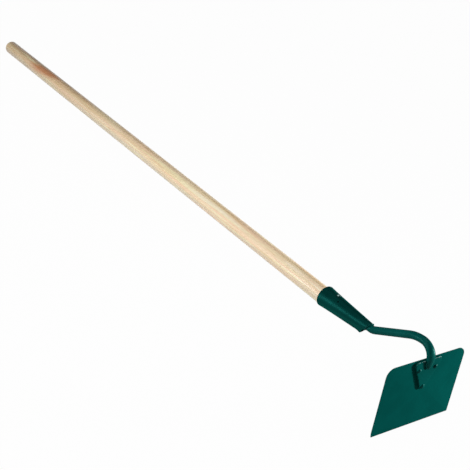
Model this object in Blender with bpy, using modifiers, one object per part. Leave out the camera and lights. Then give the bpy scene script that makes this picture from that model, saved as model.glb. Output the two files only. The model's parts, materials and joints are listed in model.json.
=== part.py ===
"""Garden hoe: riveted blade, bent neck, rolled sheet socket and turned wooden handle.

All sizes are in metres. The tool is modelled in its own frame: x points away from the user, square to
the blade, y runs along the blade's width and z points up the blade, with the origin in the middle of
the blade. The frame is then tilted so that the tool lies as it does when it is put down, on its cutting
edge and on the far end of the handle.
"""
import math

import bmesh
import bpy
from mathutils import Matrix, Vector

# Gap left between pieces that touch
CLEARANCE = 0.0003

# Blade, a flat sheet with two round corners and a ground edge
BLADE_WIDTH = 0.160
BLADE_HEIGHT = 0.120
BLADE_THICKNESS = 0.0020
BLADE_CORNER_RADIUS = 0.0145
GROUND_WIDTH = 0.008
GROUND_LAND = 0.0007

# Shield-shaped plate that carries the neck on the outer face of the blade
PLATE_THICKNESS = 0.0030
PLATE_CORNER_RADIUS = 0.0055
PLATE_EDGE_ROUND = 0.0008
PLATE_BELOW_TOP = 0.0010
PLATE_HEIGHT = 0.053
PLATE_WIDTH = 0.053

# Rivets, two high ones beside the neck and one at the foot of the shield
RIVET_SPACING = 0.033
RIVET_BELOW_TOP = 0.0165
RIVET_ABOVE_FOOT = 0.0060
RIVET_SHANK_RADIUS = 0.0025
RIVET_HEAD_RADIUS = 0.0036
RIVET_HEAD_HEIGHT = 0.0017
RIVET_BACK_HEIGHT = 0.0012

# Neck, one round bar bent in one plane, named from the socket to its toe on the plate
NECK_RADIUS = 0.00625
NECK_SEAT_LENGTH = 0.027
NECK_REAR_BEND = 0.022
NECK_RISE_ANGLE = math.radians(27.2)
NECK_STRAIGHT = 0.0743
NECK_SHOULDER_BEND = 0.0658
NECK_CROWN_ANGLE = math.radians(2.8)
NECK_CROWN_BEND = 0.0213
NECK_LEG_ANGLE = math.radians(-86.0)
NECK_LEG_LENGTH = 0.0155
NECK_TOE_DROP = 0.0151
NECK_TOE_STANDOFF = 0.0014
NECK_FLAT_WIDTH = 0.0160
NECK_TOE_TAPER = 0.45
NECK_TOE_BLUNT = 0.00023

# Socket, a sheet rolled round the handle and pinched round the neck
SOCKET_LENGTH = 0.1095
SOCKET_WALL = 0.0013
SOCKET_MOUTH_RADIUS = 0.0175
SOCKET_MOUTH_RISE = 0.0015
SOCKET_BELL = 0.0006
SOCKET_BELL_LENGTH = 0.036
SOCKET_THROAT_DEPTH = 0.0072
SOCKET_THROAT_RADIUS = 0.0021
SOCKET_SLANT = math.radians(56.0)
SOCKET_FLARE = 0.0016
SOCKET_FLARE_LENGTH = 0.009
SOCKET_SEAM = 0.0008
SOCKET_OVERRUN = 0.002
NECK_SEAT_RISE = 0.0070

# Handle, turned from one length of wood
HANDLE_DIAMETER = 0.030
HANDLE_LENGTH = 1.300
HANDLE_DOME = 0.011
HANDLE_SEAT_DEPTH = 0.070
HANDLE_TIP_CHAMFER = 0.0015

# Nail that holds the handle in the socket, and the second hole made for one
NAIL_FROM_MOUTH = 0.0288
NAIL_SHANK_RADIUS = 0.00175
NAIL_HEAD_RADIUS = 0.0035
NAIL_HEAD_HEIGHT = 0.0018
NAIL_LENGTH = 0.025
NAIL_POINT = 0.004
SPARE_HOLE_FROM_MOUTH = 0.0381
SPARE_HOLE_RADIUS = 0.0015
SPARE_HOLE_ANGLE = math.radians(36.0)

# Weld beads, and the share of its radius by which a bead stands off the corner that it fills
NECK_BEAD_RADIUS = 0.0015
SOCKET_BEAD_RADIUS = 0.0018
BEAD_STANDOFF = 1 / 3

# Facets round the turned and swept pieces
HANDLE_STEPS = 48
RIVET_STEPS = 24
HOLE_STEPS = 24
NECK_STEPS = 28
SOCKET_STEPS = 44
BEND_STEP = math.radians(5.0)
ARC_STEPS = 8
TOE_STATIONS = 12
BELL_RINGS = 4
FLARE_RINGS = 10

# Size of the blocks that are cut away, and the distance at which two points are one
CUTTER_SIZE = 0.2
MERGE_DISTANCE = 0.00001

# Places worked out from the sizes above
BLADE_TOP = BLADE_HEIGHT / 2
BLADE_FRONT = BLADE_THICKNESS / 2
PLATE_BACK = BLADE_FRONT + CLEARANCE
PLATE_FRONT = PLATE_BACK + PLATE_THICKNESS
PLATE_TOP = BLADE_TOP - PLATE_BELOW_TOP
PLATE_FOOT = PLATE_TOP - PLATE_HEIGHT
RIVET_CENTRES = {
    "rivet_left": (-RIVET_SPACING / 2, BLADE_TOP - RIVET_BELOW_TOP),
    "rivet_right": (RIVET_SPACING / 2, BLADE_TOP - RIVET_BELOW_TOP),
    "rivet_bottom": (0.0, PLATE_FOOT + RIVET_ABOVE_FOOT),
}

PAINT_GREEN = (0.0008, 0.0762, 0.0648)
WEATHERED_GREEN = (0.0012, 0.0600, 0.0510)
PALE_WOOD = (0.723, 0.584, 0.392)
NAIL_STEEL = (0.060, 0.110, 0.100)


def clear_scene():
    """Start from an empty file."""
    for obj in list(bpy.data.objects):
        bpy.data.objects.remove(obj, do_unlink=True)


def new_collection(name):
    """A collection under the scene."""
    collection = bpy.data.collections.new(name)
    bpy.context.scene.collection.children.link(collection)
    return collection


def principled(name, colour, roughness, metallic):
    """A plain material with the piece's colour."""
    material = bpy.data.materials.new(name)
    material.use_nodes = True
    shader = material.node_tree.nodes["Principled BSDF"]
    shader.inputs["Base Color"].default_value = (*colour, 1.0)
    shader.inputs["Roughness"].default_value = roughness
    shader.inputs["Metallic"].default_value = metallic
    return material


def green_paint(name, colour=PAINT_GREEN):
    """Gloss paint over steel, for one piece."""
    return principled(name + "_paint", colour, roughness=0.38, metallic=0.0)


def handle_wood():
    """Pale bare wood."""
    return principled("handle_wood", PALE_WOOD, roughness=0.62, metallic=0.0)


def add_object(name, data, collection, material=None):
    """Put a mesh or curve under the tool's frame."""
    obj = bpy.data.objects.new(name, data)
    collection.objects.link(obj)
    obj.parent = TOOL
    if material is not None:
        obj.data.materials.append(material)
    return obj


def round_shading(obj, angle=math.radians(35.0)):
    """Shade smooth, with creases where faces meet at more than the angle."""
    obj.data.shade_smooth()
    obj.data.set_sharp_from_angle(angle=angle)


def mesh_from(bm, name):
    """Write a bmesh, its faces turned outward, into a new mesh."""
    bmesh.ops.recalc_face_normals(bm, faces=bm.faces)
    mesh = bpy.data.meshes.new(name)
    bm.to_mesh(mesh)
    bm.free()
    return mesh


def add_cutter(bm, name):
    """A solid that is only cut away from others."""
    cutter = add_object(name, mesh_from(bm, name), CUTTERS)
    cutter.hide_render = True
    cutter.display_type = "WIRE"
    return cutter


def box_cutter(name, low, high):
    """A box between two corners."""
    bm = bmesh.new()
    bmesh.ops.create_cube(bm, size=1.0)
    size = Vector(high) - Vector(low)
    centre = (Vector(high) + Vector(low)) / 2
    bmesh.ops.scale(bm, vec=size, verts=bm.verts)
    bmesh.ops.translate(bm, vec=centre, verts=bm.verts)
    return add_cutter(bm, name)


def side_cutter(name, point, direction):
    """A block that takes away everything beyond the plane through the point, along the direction."""
    bm = bmesh.new()
    bmesh.ops.create_cube(bm, size=CUTTER_SIZE)
    bmesh.ops.translate(bm, vec=(0, 0, CUTTER_SIZE / 2), verts=bm.verts)
    turn = Vector((0, 0, 1)).rotation_difference(Vector(direction))
    bmesh.ops.transform(bm, matrix=Matrix.Translation(point) @ turn.to_matrix().to_4x4(), verts=bm.verts)
    return add_cutter(bm, name)


def drill(name, start, end, radius):
    """A cylinder between two points, for a hole."""
    bm = bmesh.new()
    axis = Vector(end) - Vector(start)
    turn = Vector((0, 0, 1)).rotation_difference(axis)
    place = Matrix.Translation((Vector(start) + Vector(end)) / 2) @ turn.to_matrix().to_4x4()
    bmesh.ops.create_cone(bm, cap_ends=True, segments=HOLE_STEPS, radius1=radius, radius2=radius,
                          depth=axis.length, matrix=place)
    return add_cutter(bm, name)


def cut(obj, *cutters):
    """Take the cutters away from the piece."""
    for cutter in cutters:
        modifier = obj.modifiers.new("cut " + cutter.name, "BOOLEAN")
        modifier.operation = "DIFFERENCE"
        modifier.solver = "EXACT"
        modifier.object = cutter


def loft(rings, closed=False):
    """Skin a row of rings that have the same number of points.

    An open row gets a flat face at each end. A closed row runs back to its first ring, which makes a
    tube with a wall from rings that go along the outside and return along the inside.
    """
    bm = bmesh.new()
    rows = [[bm.verts.new(point) for point in ring] for ring in rings]
    pairs = list(zip(rows, rows[1:]))
    if closed:
        pairs.append((rows[-1], rows[0]))
    count = len(rows[0])
    for near, far in pairs:
        for i in range(count):
            j = (i + 1) % count
            bm.faces.new((near[i], near[j], far[j], far[i]))
    if not closed:
        bm.faces.new(rows[0])
        bm.faces.new(rows[-1])
    return bm


def turned(name, profile, steps, material):
    """Turn a profile of (radius, height) points, listed from the top down, about the local z axis."""
    mesh = bpy.data.meshes.new(name)
    mesh.from_pydata([(radius, 0, height) for radius, height in profile],
                     [(i, i + 1) for i in range(len(profile) - 1)], [])
    obj = add_object(name, mesh, PARTS, material)
    screw = obj.modifiers.new("turn", "SCREW")
    screw.steps = steps
    screw.render_steps = steps
    screw.use_merge_vertices = True
    screw.merge_threshold = MERGE_DISTANCE
    screw.use_smooth_shade = True
    return obj


def dome(radius, height, base, up=1.0, steps=5):
    """Profile of a round head from its pole to its rim, on the plane at base."""
    sphere = (radius ** 2 + height ** 2) / (2 * height)
    opening = math.atan2(radius, sphere - height)
    angles = [opening * i / steps for i in range(steps + 1)]
    return [(sphere * math.sin(a), base + up * (height - sphere * (1 - math.cos(a)))) for a in angles]


def arc(centre, radius, start, end, steps=ARC_STEPS):
    """Points of a circular arc in the plane of an outline."""
    angles = [start + (end - start) * i / steps for i in range(steps + 1)]
    return [(centre[0] + radius * math.cos(a), centre[1] + radius * math.sin(a)) for a in angles]


def outline_mesh(name, points, thickness, middle, edge_round=0.0):
    """A flat plate from an outline across the blade, as a mesh whose flat sides are single faces."""
    curve = bpy.data.curves.new(name, "CURVE")
    curve.dimensions = "2D"
    curve.fill_mode = "BOTH"
    curve.bevel_depth = edge_round
    curve.bevel_resolution = 2
    curve.offset = -edge_round
    curve.extrude = thickness / 2 - edge_round
    spline = curve.splines.new("POLY")
    spline.points.add(len(points) - 1)
    for target, (across, up) in zip(spline.points, points):
        target.co = (across, up, 0, 1)
    spline.use_cyclic_u = True
    flat = bpy.data.objects.new(name, curve)
    CUTTERS.objects.link(flat)
    flat.rotation_euler = (math.pi / 2, 0, math.pi / 2)
    flat.location = (middle, 0, 0)
    bpy.context.view_layer.update()
    mesh = bpy.data.meshes.new_from_object(flat.evaluated_get(bpy.context.evaluated_depsgraph_get()))
    mesh.transform(flat.matrix_world)
    bpy.data.objects.remove(flat, do_unlink=True)
    bm = bmesh.new()
    bm.from_mesh(mesh)
    bpy.data.meshes.remove(mesh)
    bmesh.ops.remove_doubles(bm, verts=bm.verts, dist=MERGE_DISTANCE)
    bmesh.ops.dissolve_limit(bm, angle_limit=math.radians(0.5), verts=bm.verts, edges=bm.edges)
    return bm


def rivet_drills(name, low, high):
    """The three rivet holes through one sheet."""
    radius = RIVET_SHANK_RADIUS + CLEARANCE
    return [drill(name + "_" + rivet, (low, y, z), (high, y, z), radius)
            for rivet, (y, z) in RIVET_CENTRES.items()]


def make_blade():
    """Flat blade with two round corners, holes for the rivets and an edge ground on the inner face."""
    half = BLADE_WIDTH / 2
    inner = half - BLADE_CORNER_RADIUS
    shoulder = BLADE_TOP - BLADE_CORNER_RADIUS
    points = [(-half, -BLADE_TOP), (half, -BLADE_TOP)]
    points += arc((inner, shoulder), BLADE_CORNER_RADIUS, 0.0, math.pi / 2)
    points += arc((-inner, shoulder), BLADE_CORNER_RADIUS, math.pi / 2, math.pi)
    bm = outline_mesh("blade", points, BLADE_THICKNESS, 0.0)
    below_plate = PLATE_FOOT - RIVET_HEAD_RADIUS
    bmesh.ops.bisect_plane(bm, geom=bm.verts[:] + bm.edges[:] + bm.faces[:],
                           plane_co=(0, 0, below_plate), plane_no=(0, 0, 1))
    blade = add_object("blade", mesh_from(bm, "blade"), PARTS, green_paint("blade"))
    land = Vector((BLADE_FRONT - GROUND_LAND, 0, -BLADE_TOP))
    heel = Vector((-BLADE_FRONT, 0, -BLADE_TOP + GROUND_WIDTH))
    slope = (heel - land).cross(Vector((0, 1, 0)))
    ground = side_cutter("ground_edge", land, slope)
    cut(blade, ground, *rivet_drills("blade_hole", -BLADE_THICKNESS * 2, BLADE_THICKNESS * 2))
    return blade


def shield_outline():
    """Three round corners joined by straight edges that touch them."""
    radius = PLATE_CORNER_RADIUS
    side = PLATE_WIDTH / 2 - radius
    high = PLATE_TOP - radius
    low = PLATE_FOOT + radius
    lean = math.atan2(side, high - low)
    points = arc((side, high), radius, -lean, math.pi / 2)
    points += arc((-side, high), radius, math.pi / 2, math.pi + lean)
    points += arc((0.0, low), radius, math.pi + lean, 2 * math.pi - lean)
    return points


def make_rivet_plate():
    """Shield-shaped plate on the outer face, its edges rounded."""
    middle = (PLATE_BACK + PLATE_FRONT) / 2
    bm = outline_mesh("rivet_plate", shield_outline(), PLATE_THICKNESS, middle, PLATE_EDGE_ROUND)
    plate = add_object("rivet_plate", mesh_from(bm, "rivet_plate"), PARTS, green_paint("rivet_plate"))
    cut(plate, *rivet_drills("plate_hole", 0.0, PLATE_FRONT * 2))
    round_shading(plate)
    return plate


def make_rivet(name, centre):
    """Dome head on the plate, shank through plate and blade, low head closed on the inner face."""
    front = PLATE_FRONT + CLEARANCE
    back = -BLADE_FRONT - CLEARANCE
    profile = dome(RIVET_HEAD_RADIUS, RIVET_HEAD_HEIGHT, front)
    profile += [(RIVET_SHANK_RADIUS, front), (RIVET_SHANK_RADIUS, back)]
    profile += reversed(dome(RIVET_HEAD_RADIUS, RIVET_BACK_HEIGHT, back, up=-1.0))
    rivet = turned(name, profile, RIVET_STEPS, green_paint(name))
    rivet.rotation_euler = (0, math.pi / 2, 0)
    rivet.location = (0, *centre)
    return rivet


def neck_stations():
    """Centre line of the neck as (point, heading, toe share) from its end in the socket to its toe.

    The heading is the angle of the bar over the x axis. The toe share runs from 0 to 1 along the leg.
    The line is laid out from the socket and then moved so that the toe lands on the plate.
    """
    x, z, heading = 0.0, 0.0, 0.0
    stations = [(x, z, heading, 0.0)]

    def run(length, steps=1, toe=False):
        nonlocal x, z
        for i in range(steps):
            x += math.cos(heading) * length / steps
            z += math.sin(heading) * length / steps
            stations.append((x, z, heading, (i + 1) / steps if toe else 0.0))

    def bend(radius, target):
        nonlocal x, z, heading
        steps = max(2, round(abs(target - heading) / BEND_STEP))
        turn = (target - heading) / steps
        for _ in range(steps):
            chord = 2 * radius * math.sin(abs(turn) / 2)
            x += chord * math.cos(heading + turn / 2)
            z += chord * math.sin(heading + turn / 2)
            heading += turn
            stations.append((x, z, heading, 0.0))

    run(NECK_SEAT_LENGTH)
    bend(NECK_REAR_BEND, NECK_RISE_ANGLE)
    run(NECK_STRAIGHT)
    bend(NECK_SHOULDER_BEND, NECK_CROWN_ANGLE)
    bend(NECK_CROWN_BEND, NECK_LEG_ANGLE)
    run(NECK_LEG_LENGTH, TOE_STATIONS, toe=True)
    toe_x = PLATE_FRONT + CLEARANCE + NECK_TOE_STANDOFF
    toe_z = BLADE_TOP - NECK_TOE_DROP
    shift = (toe_x - x, toe_z - z)
    return [(sx + shift[0], sz + shift[1], angle, toe) for sx, sz, angle, toe in stations]


def smooth_step(value):
    """Ease from 0 to 1."""
    value = min(max(value, 0.0), 1.0)
    return value * value * (3 - 2 * value)


def neck_section(heading, toe):
    """Half width, outer half thickness and inner half thickness of the bar at a station.

    The bar is drawn flatter round the crown, keeping its area, and its toe narrows to a round nose.
    """
    flatness = smooth_step((NECK_CROWN_ANGLE - heading) / (NECK_CROWN_ANGLE - NECK_LEG_ANGLE))
    wide = NECK_RADIUS + (NECK_FLAT_WIDTH / 2 - NECK_RADIUS) * flatness
    thick = NECK_RADIUS ** 2 / wide
    share = toe * (1 - NECK_TOE_BLUNT / NECK_LEG_LENGTH)
    nose = (1 - NECK_TOE_TAPER * share) * math.sqrt(1 - share ** 3)
    return wide * nose, thick * nose, thick


def neck_rings(grow=0.0):
    """Elliptic sections along the neck, grown all round where the ring serves to make room for it."""
    rings = []
    for x, z, heading, toe in neck_stations():
        wide, outer, inner = neck_section(heading, toe)
        ring = []
        for i in range(NECK_STEPS):
            angle = 2 * math.pi * i / NECK_STEPS
            lift = (outer if math.sin(angle) > 0 else inner) + grow
            height = lift * math.sin(angle)
            ring.append((x - height * math.sin(heading), (wide + grow) * math.cos(angle),
                         z + height * math.cos(heading)))
        rings.append(ring)
    return rings


def room_for_neck(name):
    """The neck's shape with its clearance, to cut from the welds."""
    rings = neck_rings(CLEARANCE)
    heading = Vector((math.cos(NECK_LEG_ANGLE), 0, math.sin(NECK_LEG_ANGLE)))
    rings.append([Vector(point) + heading * CLEARANCE for point in rings[-1]])
    return add_cutter(loft(rings), name)


def make_swan_neck():
    """Bent bar whose toe is scarfed flat on the plate, with a heel over the blade's top edge."""
    neck = add_object("swan_neck", mesh_from(loft(neck_rings()), "swan_neck"), PARTS,
                      green_paint("swan_neck"))
    reach = NECK_FLAT_WIDTH
    over_plate = box_cutter("scarf", (-reach, -reach, 0),
                            (PLATE_FRONT + CLEARANCE, reach, PLATE_TOP + CLEARANCE))
    over_blade = box_cutter("heel", (-reach, -reach, 0), (PLATE_BACK, reach, BLADE_TOP + CLEARANCE))
    cut(neck, over_plate, over_blade)
    round_shading(neck)
    return neck


def seat_start():
    """Where the bar starts to bend out of the socket: x, and z of the seat."""
    x, z, _, _ = neck_stations()[1]
    return x, z


def socket_frame():
    """x of the mouth, x of the lip and z of the handle's axis."""
    lip, seat_z = seat_start()
    return lip - SOCKET_LENGTH, lip, seat_z - NECK_SEAT_RISE


def socket_circles(x, wall=0.0):
    """The two circles whose hull is the socket's section at x, as (height over the axis, radius)."""
    mouth, lip, _ = socket_frame()
    share = (x - mouth) / SOCKET_LENGTH
    grip_radius = NECK_RADIUS + CLEARANCE + SOCKET_WALL
    top = SOCKET_MOUTH_RISE + (NECK_SEAT_RISE - SOCKET_MOUTH_RISE) * share
    top_radius = SOCKET_MOUTH_RADIUS + (grip_radius - SOCKET_MOUTH_RADIUS) * share
    foot = SOCKET_MOUTH_RISE - (SOCKET_THROAT_DEPTH + SOCKET_MOUTH_RISE) * share
    foot_radius = SOCKET_MOUTH_RADIUS + (SOCKET_THROAT_RADIUS - SOCKET_MOUTH_RADIUS) * share
    bell = SOCKET_BELL * max(0.0, 1 - (x - mouth) / SOCKET_BELL_LENGTH) ** 2
    return (top, top_radius + bell - wall), (foot, foot_radius + bell - wall)


def socket_lean():
    """Angle below level at which the flanks of the section face, the same all along the socket."""
    (top, top_radius), (foot, foot_radius) = socket_circles(socket_frame()[1])
    return math.asin((top_radius - foot_radius) / (top - foot))


def socket_corner_x():
    """x of the lowest corner of the slanted end, where the slant meets the socket's flared foot line."""
    mouth, lip, _ = socket_frame()
    (top, top_radius), (foot, foot_radius) = socket_circles(lip)
    foot_slope = (foot - foot_radius - SOCKET_MOUTH_RISE + SOCKET_MOUTH_RADIUS) / SOCKET_LENGTH
    depth = top + top_radius - foot + foot_radius + SOCKET_FLARE
    return lip - depth / (math.tan(SOCKET_SLANT) - foot_slope)


def socket_ring(x, wall):
    """Section of the socket: the upper circle as far as the flanks, then the lower circle."""
    _, _, axis = socket_frame()
    (top, top_radius), (foot, foot_radius) = socket_circles(x, wall)
    flare = SOCKET_FLARE * max(0.0, (x - socket_corner_x()) / SOCKET_FLARE_LENGTH + 1) ** 2
    lean = socket_lean()
    upper = round(SOCKET_STEPS * (math.pi + 2 * lean) / (2 * math.pi))
    lower = SOCKET_STEPS - upper
    ring = []
    for y, height in arc((0.0, top), top_radius, -lean, math.pi + lean, upper):
        ring.append((x, y, axis + height))
    step = (math.pi - 2 * lean) / lower
    for y, height in arc((0.0, foot - flare), foot_radius, math.pi + lean + step, 2 * math.pi - lean - step,
                         lower - 2):
        ring.append((x, y, axis + height))
    return ring


def make_socket():
    """Rolled and pinched sheet: butt seam underneath, slanted end, two nail holes."""
    mouth, lip, axis = socket_frame()
    flare_start = socket_corner_x() - SOCKET_FLARE_LENGTH
    end = lip + SOCKET_OVERRUN
    places = [mouth + SOCKET_BELL_LENGTH * i / BELL_RINGS for i in range(BELL_RINGS + 1)]
    places += [flare_start + (end - flare_start) * i / FLARE_RINGS for i in range(FLARE_RINGS + 1)]
    rings = [socket_ring(x, 0.0) for x in places]
    rings += [socket_ring(x, SOCKET_WALL) for x in reversed(places)]
    socket = add_object("socket", mesh_from(loft(rings, closed=True), "socket"), PARTS,
                        green_paint("socket", WEATHERED_GREEN))
    (top, top_radius), _ = socket_circles(lip)
    slant = side_cutter("slanted_end", (lip, 0, axis + top + top_radius), slant_normal())
    seam = box_cutter("seam", (mouth - SOCKET_OVERRUN, -SOCKET_SEAM / 2, axis - HANDLE_DIAMETER),
                      (end, SOCKET_SEAM / 2, axis - SOCKET_THROAT_DEPTH / 2))
    nail_hole = drill("nail_hole", nail_place(0.0), nail_place(SOCKET_MOUTH_RADIUS * 2),
                      NAIL_SHANK_RADIUS + CLEARANCE)
    cut(socket, slant, seam, nail_hole, spare_hole())
    round_shading(socket)
    return socket


def slant_normal():
    """Direction out of the socket's slanted end."""
    return Vector((math.sin(SOCKET_SLANT), 0, -math.cos(SOCKET_SLANT)))


def nail_place(height):
    """Point on the nail's axis at a height over the handle's axis."""
    mouth, _, axis = socket_frame()
    return (mouth + NAIL_FROM_MOUTH, 0, axis + height)


def spare_hole():
    """Second nail hole, beside the top of the socket."""
    mouth, _, axis = socket_frame()
    x = mouth + SPARE_HOLE_FROM_MOUTH
    (top, top_radius), _ = socket_circles(x)
    centre = Vector((x, 0, axis + top))
    outward = Vector((0, -math.sin(SPARE_HOLE_ANGLE), math.cos(SPARE_HOLE_ANGLE)))
    return drill("spare_hole", centre + outward * top_radius / 2, centre + outward * top_radius * 2,
                 SPARE_HOLE_RADIUS)


def taper_radius(x):
    """Radius of the largest round rod, on the handle's axis, that goes into the socket as far as x."""
    (top, top_radius), (foot, foot_radius) = socket_circles(x, SOCKET_WALL)
    lean = socket_lean()
    to_flank = top_radius - top * math.sin(lean)
    to_floor = foot_radius - foot
    to_roof = top_radius + top
    return min(to_flank, to_floor, to_roof) - CLEARANCE


def make_handle():
    """Round handle with a domed far end and a tapered seat, bored for the nail."""
    mouth, _, axis = socket_frame()
    radius = HANDLE_DIAMETER / 2
    tip = mouth + HANDLE_SEAT_DEPTH
    slope = (taper_radius(mouth) - taper_radius(tip)) / HANDLE_SEAT_DEPTH
    taper_start = mouth + (taper_radius(mouth) - radius) / slope
    tip_radius = taper_radius(tip)
    far = tip - HANDLE_LENGTH
    profile = [(0.0, tip), (tip_radius - HANDLE_TIP_CHAMFER, tip), (tip_radius, tip - HANDLE_TIP_CHAMFER),
               (radius, taper_start)]
    for i in range(ARC_STEPS + 1):
        angle = math.pi / 2 * i / ARC_STEPS
        profile.append((radius * math.cos(angle), far + HANDLE_DOME * (1 - math.sin(angle))))
    profile[-1] = (0.0, far)
    handle = turned("handle", profile, HANDLE_STEPS, handle_wood())
    handle.rotation_euler = (0, math.pi / 2, 0)
    handle.location = (0, 0, axis)
    bore_end = nail_top() - NAIL_LENGTH - CLEARANCE
    cut(handle, drill("nail_bore", nail_place(bore_end), nail_place(HANDLE_DIAMETER),
                      NAIL_SHANK_RADIUS + CLEARANCE))
    return handle


def nail_top():
    """Height over the handle's axis at which the nail's head rests on the socket."""
    mouth, _, _ = socket_frame()
    (top, top_radius), _ = socket_circles(mouth + NAIL_FROM_MOUTH - NAIL_HEAD_RADIUS)
    return top + top_radius + CLEARANCE


def make_handle_nail():
    """Dome-head nail driven through the socket into the wood."""
    seat = nail_top()
    profile = dome(NAIL_HEAD_RADIUS, NAIL_HEAD_HEIGHT, seat)
    profile += [(NAIL_SHANK_RADIUS, seat), (NAIL_SHANK_RADIUS, seat - NAIL_LENGTH + NAIL_POINT),
                (0.0, seat - NAIL_LENGTH)]
    steel = principled("nail_steel", NAIL_STEEL, roughness=0.35, metallic=0.6)
    nail = turned("handle_nail", profile, RIVET_STEPS, steel)
    nail.location = nail_place(0.0)
    return nail


def bead_mesh(name, points, radius, cyclic):
    """A round bead of weld along a line, as a mesh."""
    curve = bpy.data.curves.new(name, "CURVE")
    curve.dimensions = "3D"
    curve.bevel_depth = radius
    curve.bevel_resolution = 3
    curve.use_fill_caps = not cyclic
    spline = curve.splines.new("POLY")
    spline.points.add(len(points) - 1)
    for target, point in zip(spline.points, points):
        target.co = (*point, 1)
    spline.use_cyclic_u = cyclic
    line = bpy.data.objects.new(name, curve)
    CUTTERS.objects.link(line)
    bpy.context.view_layer.update()
    mesh = bpy.data.meshes.new_from_object(line.evaluated_get(bpy.context.evaluated_depsgraph_get()))
    bpy.data.objects.remove(line, do_unlink=True)
    bm = bmesh.new()
    bm.from_mesh(mesh)
    bpy.data.meshes.remove(mesh)
    bmesh.ops.remove_doubles(bm, verts=bm.verts, dist=MERGE_DISTANCE)
    return mesh_from(bm, name)


def make_neck_weld():
    """Bead round the neck's toe, on the front of the plate."""
    face = PLATE_FRONT + CLEARANCE
    standoff = NECK_BEAD_RADIUS * BEAD_STANDOFF
    side = []
    for x, z, heading, toe in neck_stations():
        if toe == 0.0 or z > PLATE_TOP - NECK_BEAD_RADIUS * 2:
            continue
        wide, _, inner = neck_section(heading, toe)
        edge = wide * math.sqrt(1 - ((x - face) / inner) ** 2)
        side.append((face + standoff, edge + standoff, z - standoff * toe))
    points = [(x, -y, z) for x, y, z in side] + side[::-1]
    weld = add_object("neck_weld", bead_mesh("neck_weld", points, NECK_BEAD_RADIUS, False), PARTS,
                      green_paint("neck_weld", WEATHERED_GREEN))
    flat = side_cutter("weld_flat", (face, 0, 0), (-1, 0, 0))
    cut(weld, flat, room_for_neck("neck_room_front"))
    round_shading(weld)
    return weld


def make_socket_weld():
    """Bead round the neck where it leaves the socket's slanted end."""
    _, lip, axis = socket_frame()
    (top, top_radius), _ = socket_circles(lip)
    plane_point = Vector((lip, 0, axis + top + top_radius)) + slant_normal() * CLEARANCE
    standoff = SOCKET_BEAD_RADIUS * BEAD_STANDOFF
    points = []
    for y, height in arc((0.0, NECK_SEAT_RISE), NECK_RADIUS + standoff, 0.0, 2 * math.pi, NECK_STEPS)[:-1]:
        z = axis + height
        x = plane_point.x - (plane_point.z - z) / math.tan(SOCKET_SLANT)
        points.append((x + standoff, y, z))
    weld = add_object("socket_weld", bead_mesh("socket_weld", points, SOCKET_BEAD_RADIUS, True), PARTS,
                      green_paint("socket_weld", WEATHERED_GREEN))
    behind = side_cutter("weld_behind", plane_point, -slant_normal())
    cut(weld, behind, room_for_neck("neck_room_rear"))
    round_shading(weld)
    return weld


def rest_tilt():
    """Angle by which the far end drops so that it and the cutting edge touch one level surface.

    The far end is an ellipsoid, whose distance from its centre to a tangent plane depends on the angle,
    so the angle is refined a few times.
    """
    mouth, _, axis = socket_frame()
    centre_x = mouth + HANDLE_SEAT_DEPTH - HANDLE_LENGTH + HANDLE_DOME
    along = BLADE_FRONT - centre_x
    rise = axis + BLADE_TOP
    tilt = 0.0
    for _ in range(8):
        support = math.hypot(HANDLE_DOME * math.sin(tilt), HANDLE_DIAMETER / 2 * math.cos(tilt))
        tilt = math.acos(support / math.hypot(along, rise)) - math.atan2(along, rise)
    return tilt


def lay_down():
    """Tilt the tool, stand it on z = 0 and centre its outline over the origin."""
    TOOL.rotation_euler = (0, -rest_tilt(), 0)
    bpy.context.view_layer.update()
    depsgraph = bpy.context.evaluated_depsgraph_get()
    corners = []
    for obj in PARTS.objects:
        solid = obj.evaluated_get(depsgraph)
        corners += [solid.matrix_world @ vertex.co for vertex in solid.data.vertices]
    low = [min(corner[i] for corner in corners) for i in range(3)]
    high = [max(corner[i] for corner in corners) for i in range(3)]
    TOOL.location = (-(low[0] + high[0]) / 2, -(low[1] + high[1]) / 2, -low[2])
    bpy.context.view_layer.update()


clear_scene()
PARTS = new_collection("garden_hoe")
CUTTERS = new_collection("cutters_and_guides")
TOOL = bpy.data.objects.new("tool_frame", None)
CUTTERS.objects.link(TOOL)
make_blade()
make_rivet_plate()
for rivet_name, rivet_centre in RIVET_CENTRES.items():
    make_rivet(rivet_name, rivet_centre)
make_swan_neck()
make_socket()
make_handle()
make_handle_nail()
make_socket_weld()
make_neck_weld()
lay_down()
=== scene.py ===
# %% [markdown]
# # A garden hoe, piece by piece
#
# A draw hoe is a plain thing: a steel blade, a bent neck, a rolled socket and a long stick of wood. That
# makes it a good first model, because each part shows one way of making a shape from numbers. This lesson
# starts from a measured solid model of the hoe, which fixes every size and place, and builds the pieces
# that the eye sees round it. All lengths are in metres.

# %% Load the measured model
import json
import math

import bmesh
import bpy
import numpy as np
from mathutils import Matrix, Vector


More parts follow.
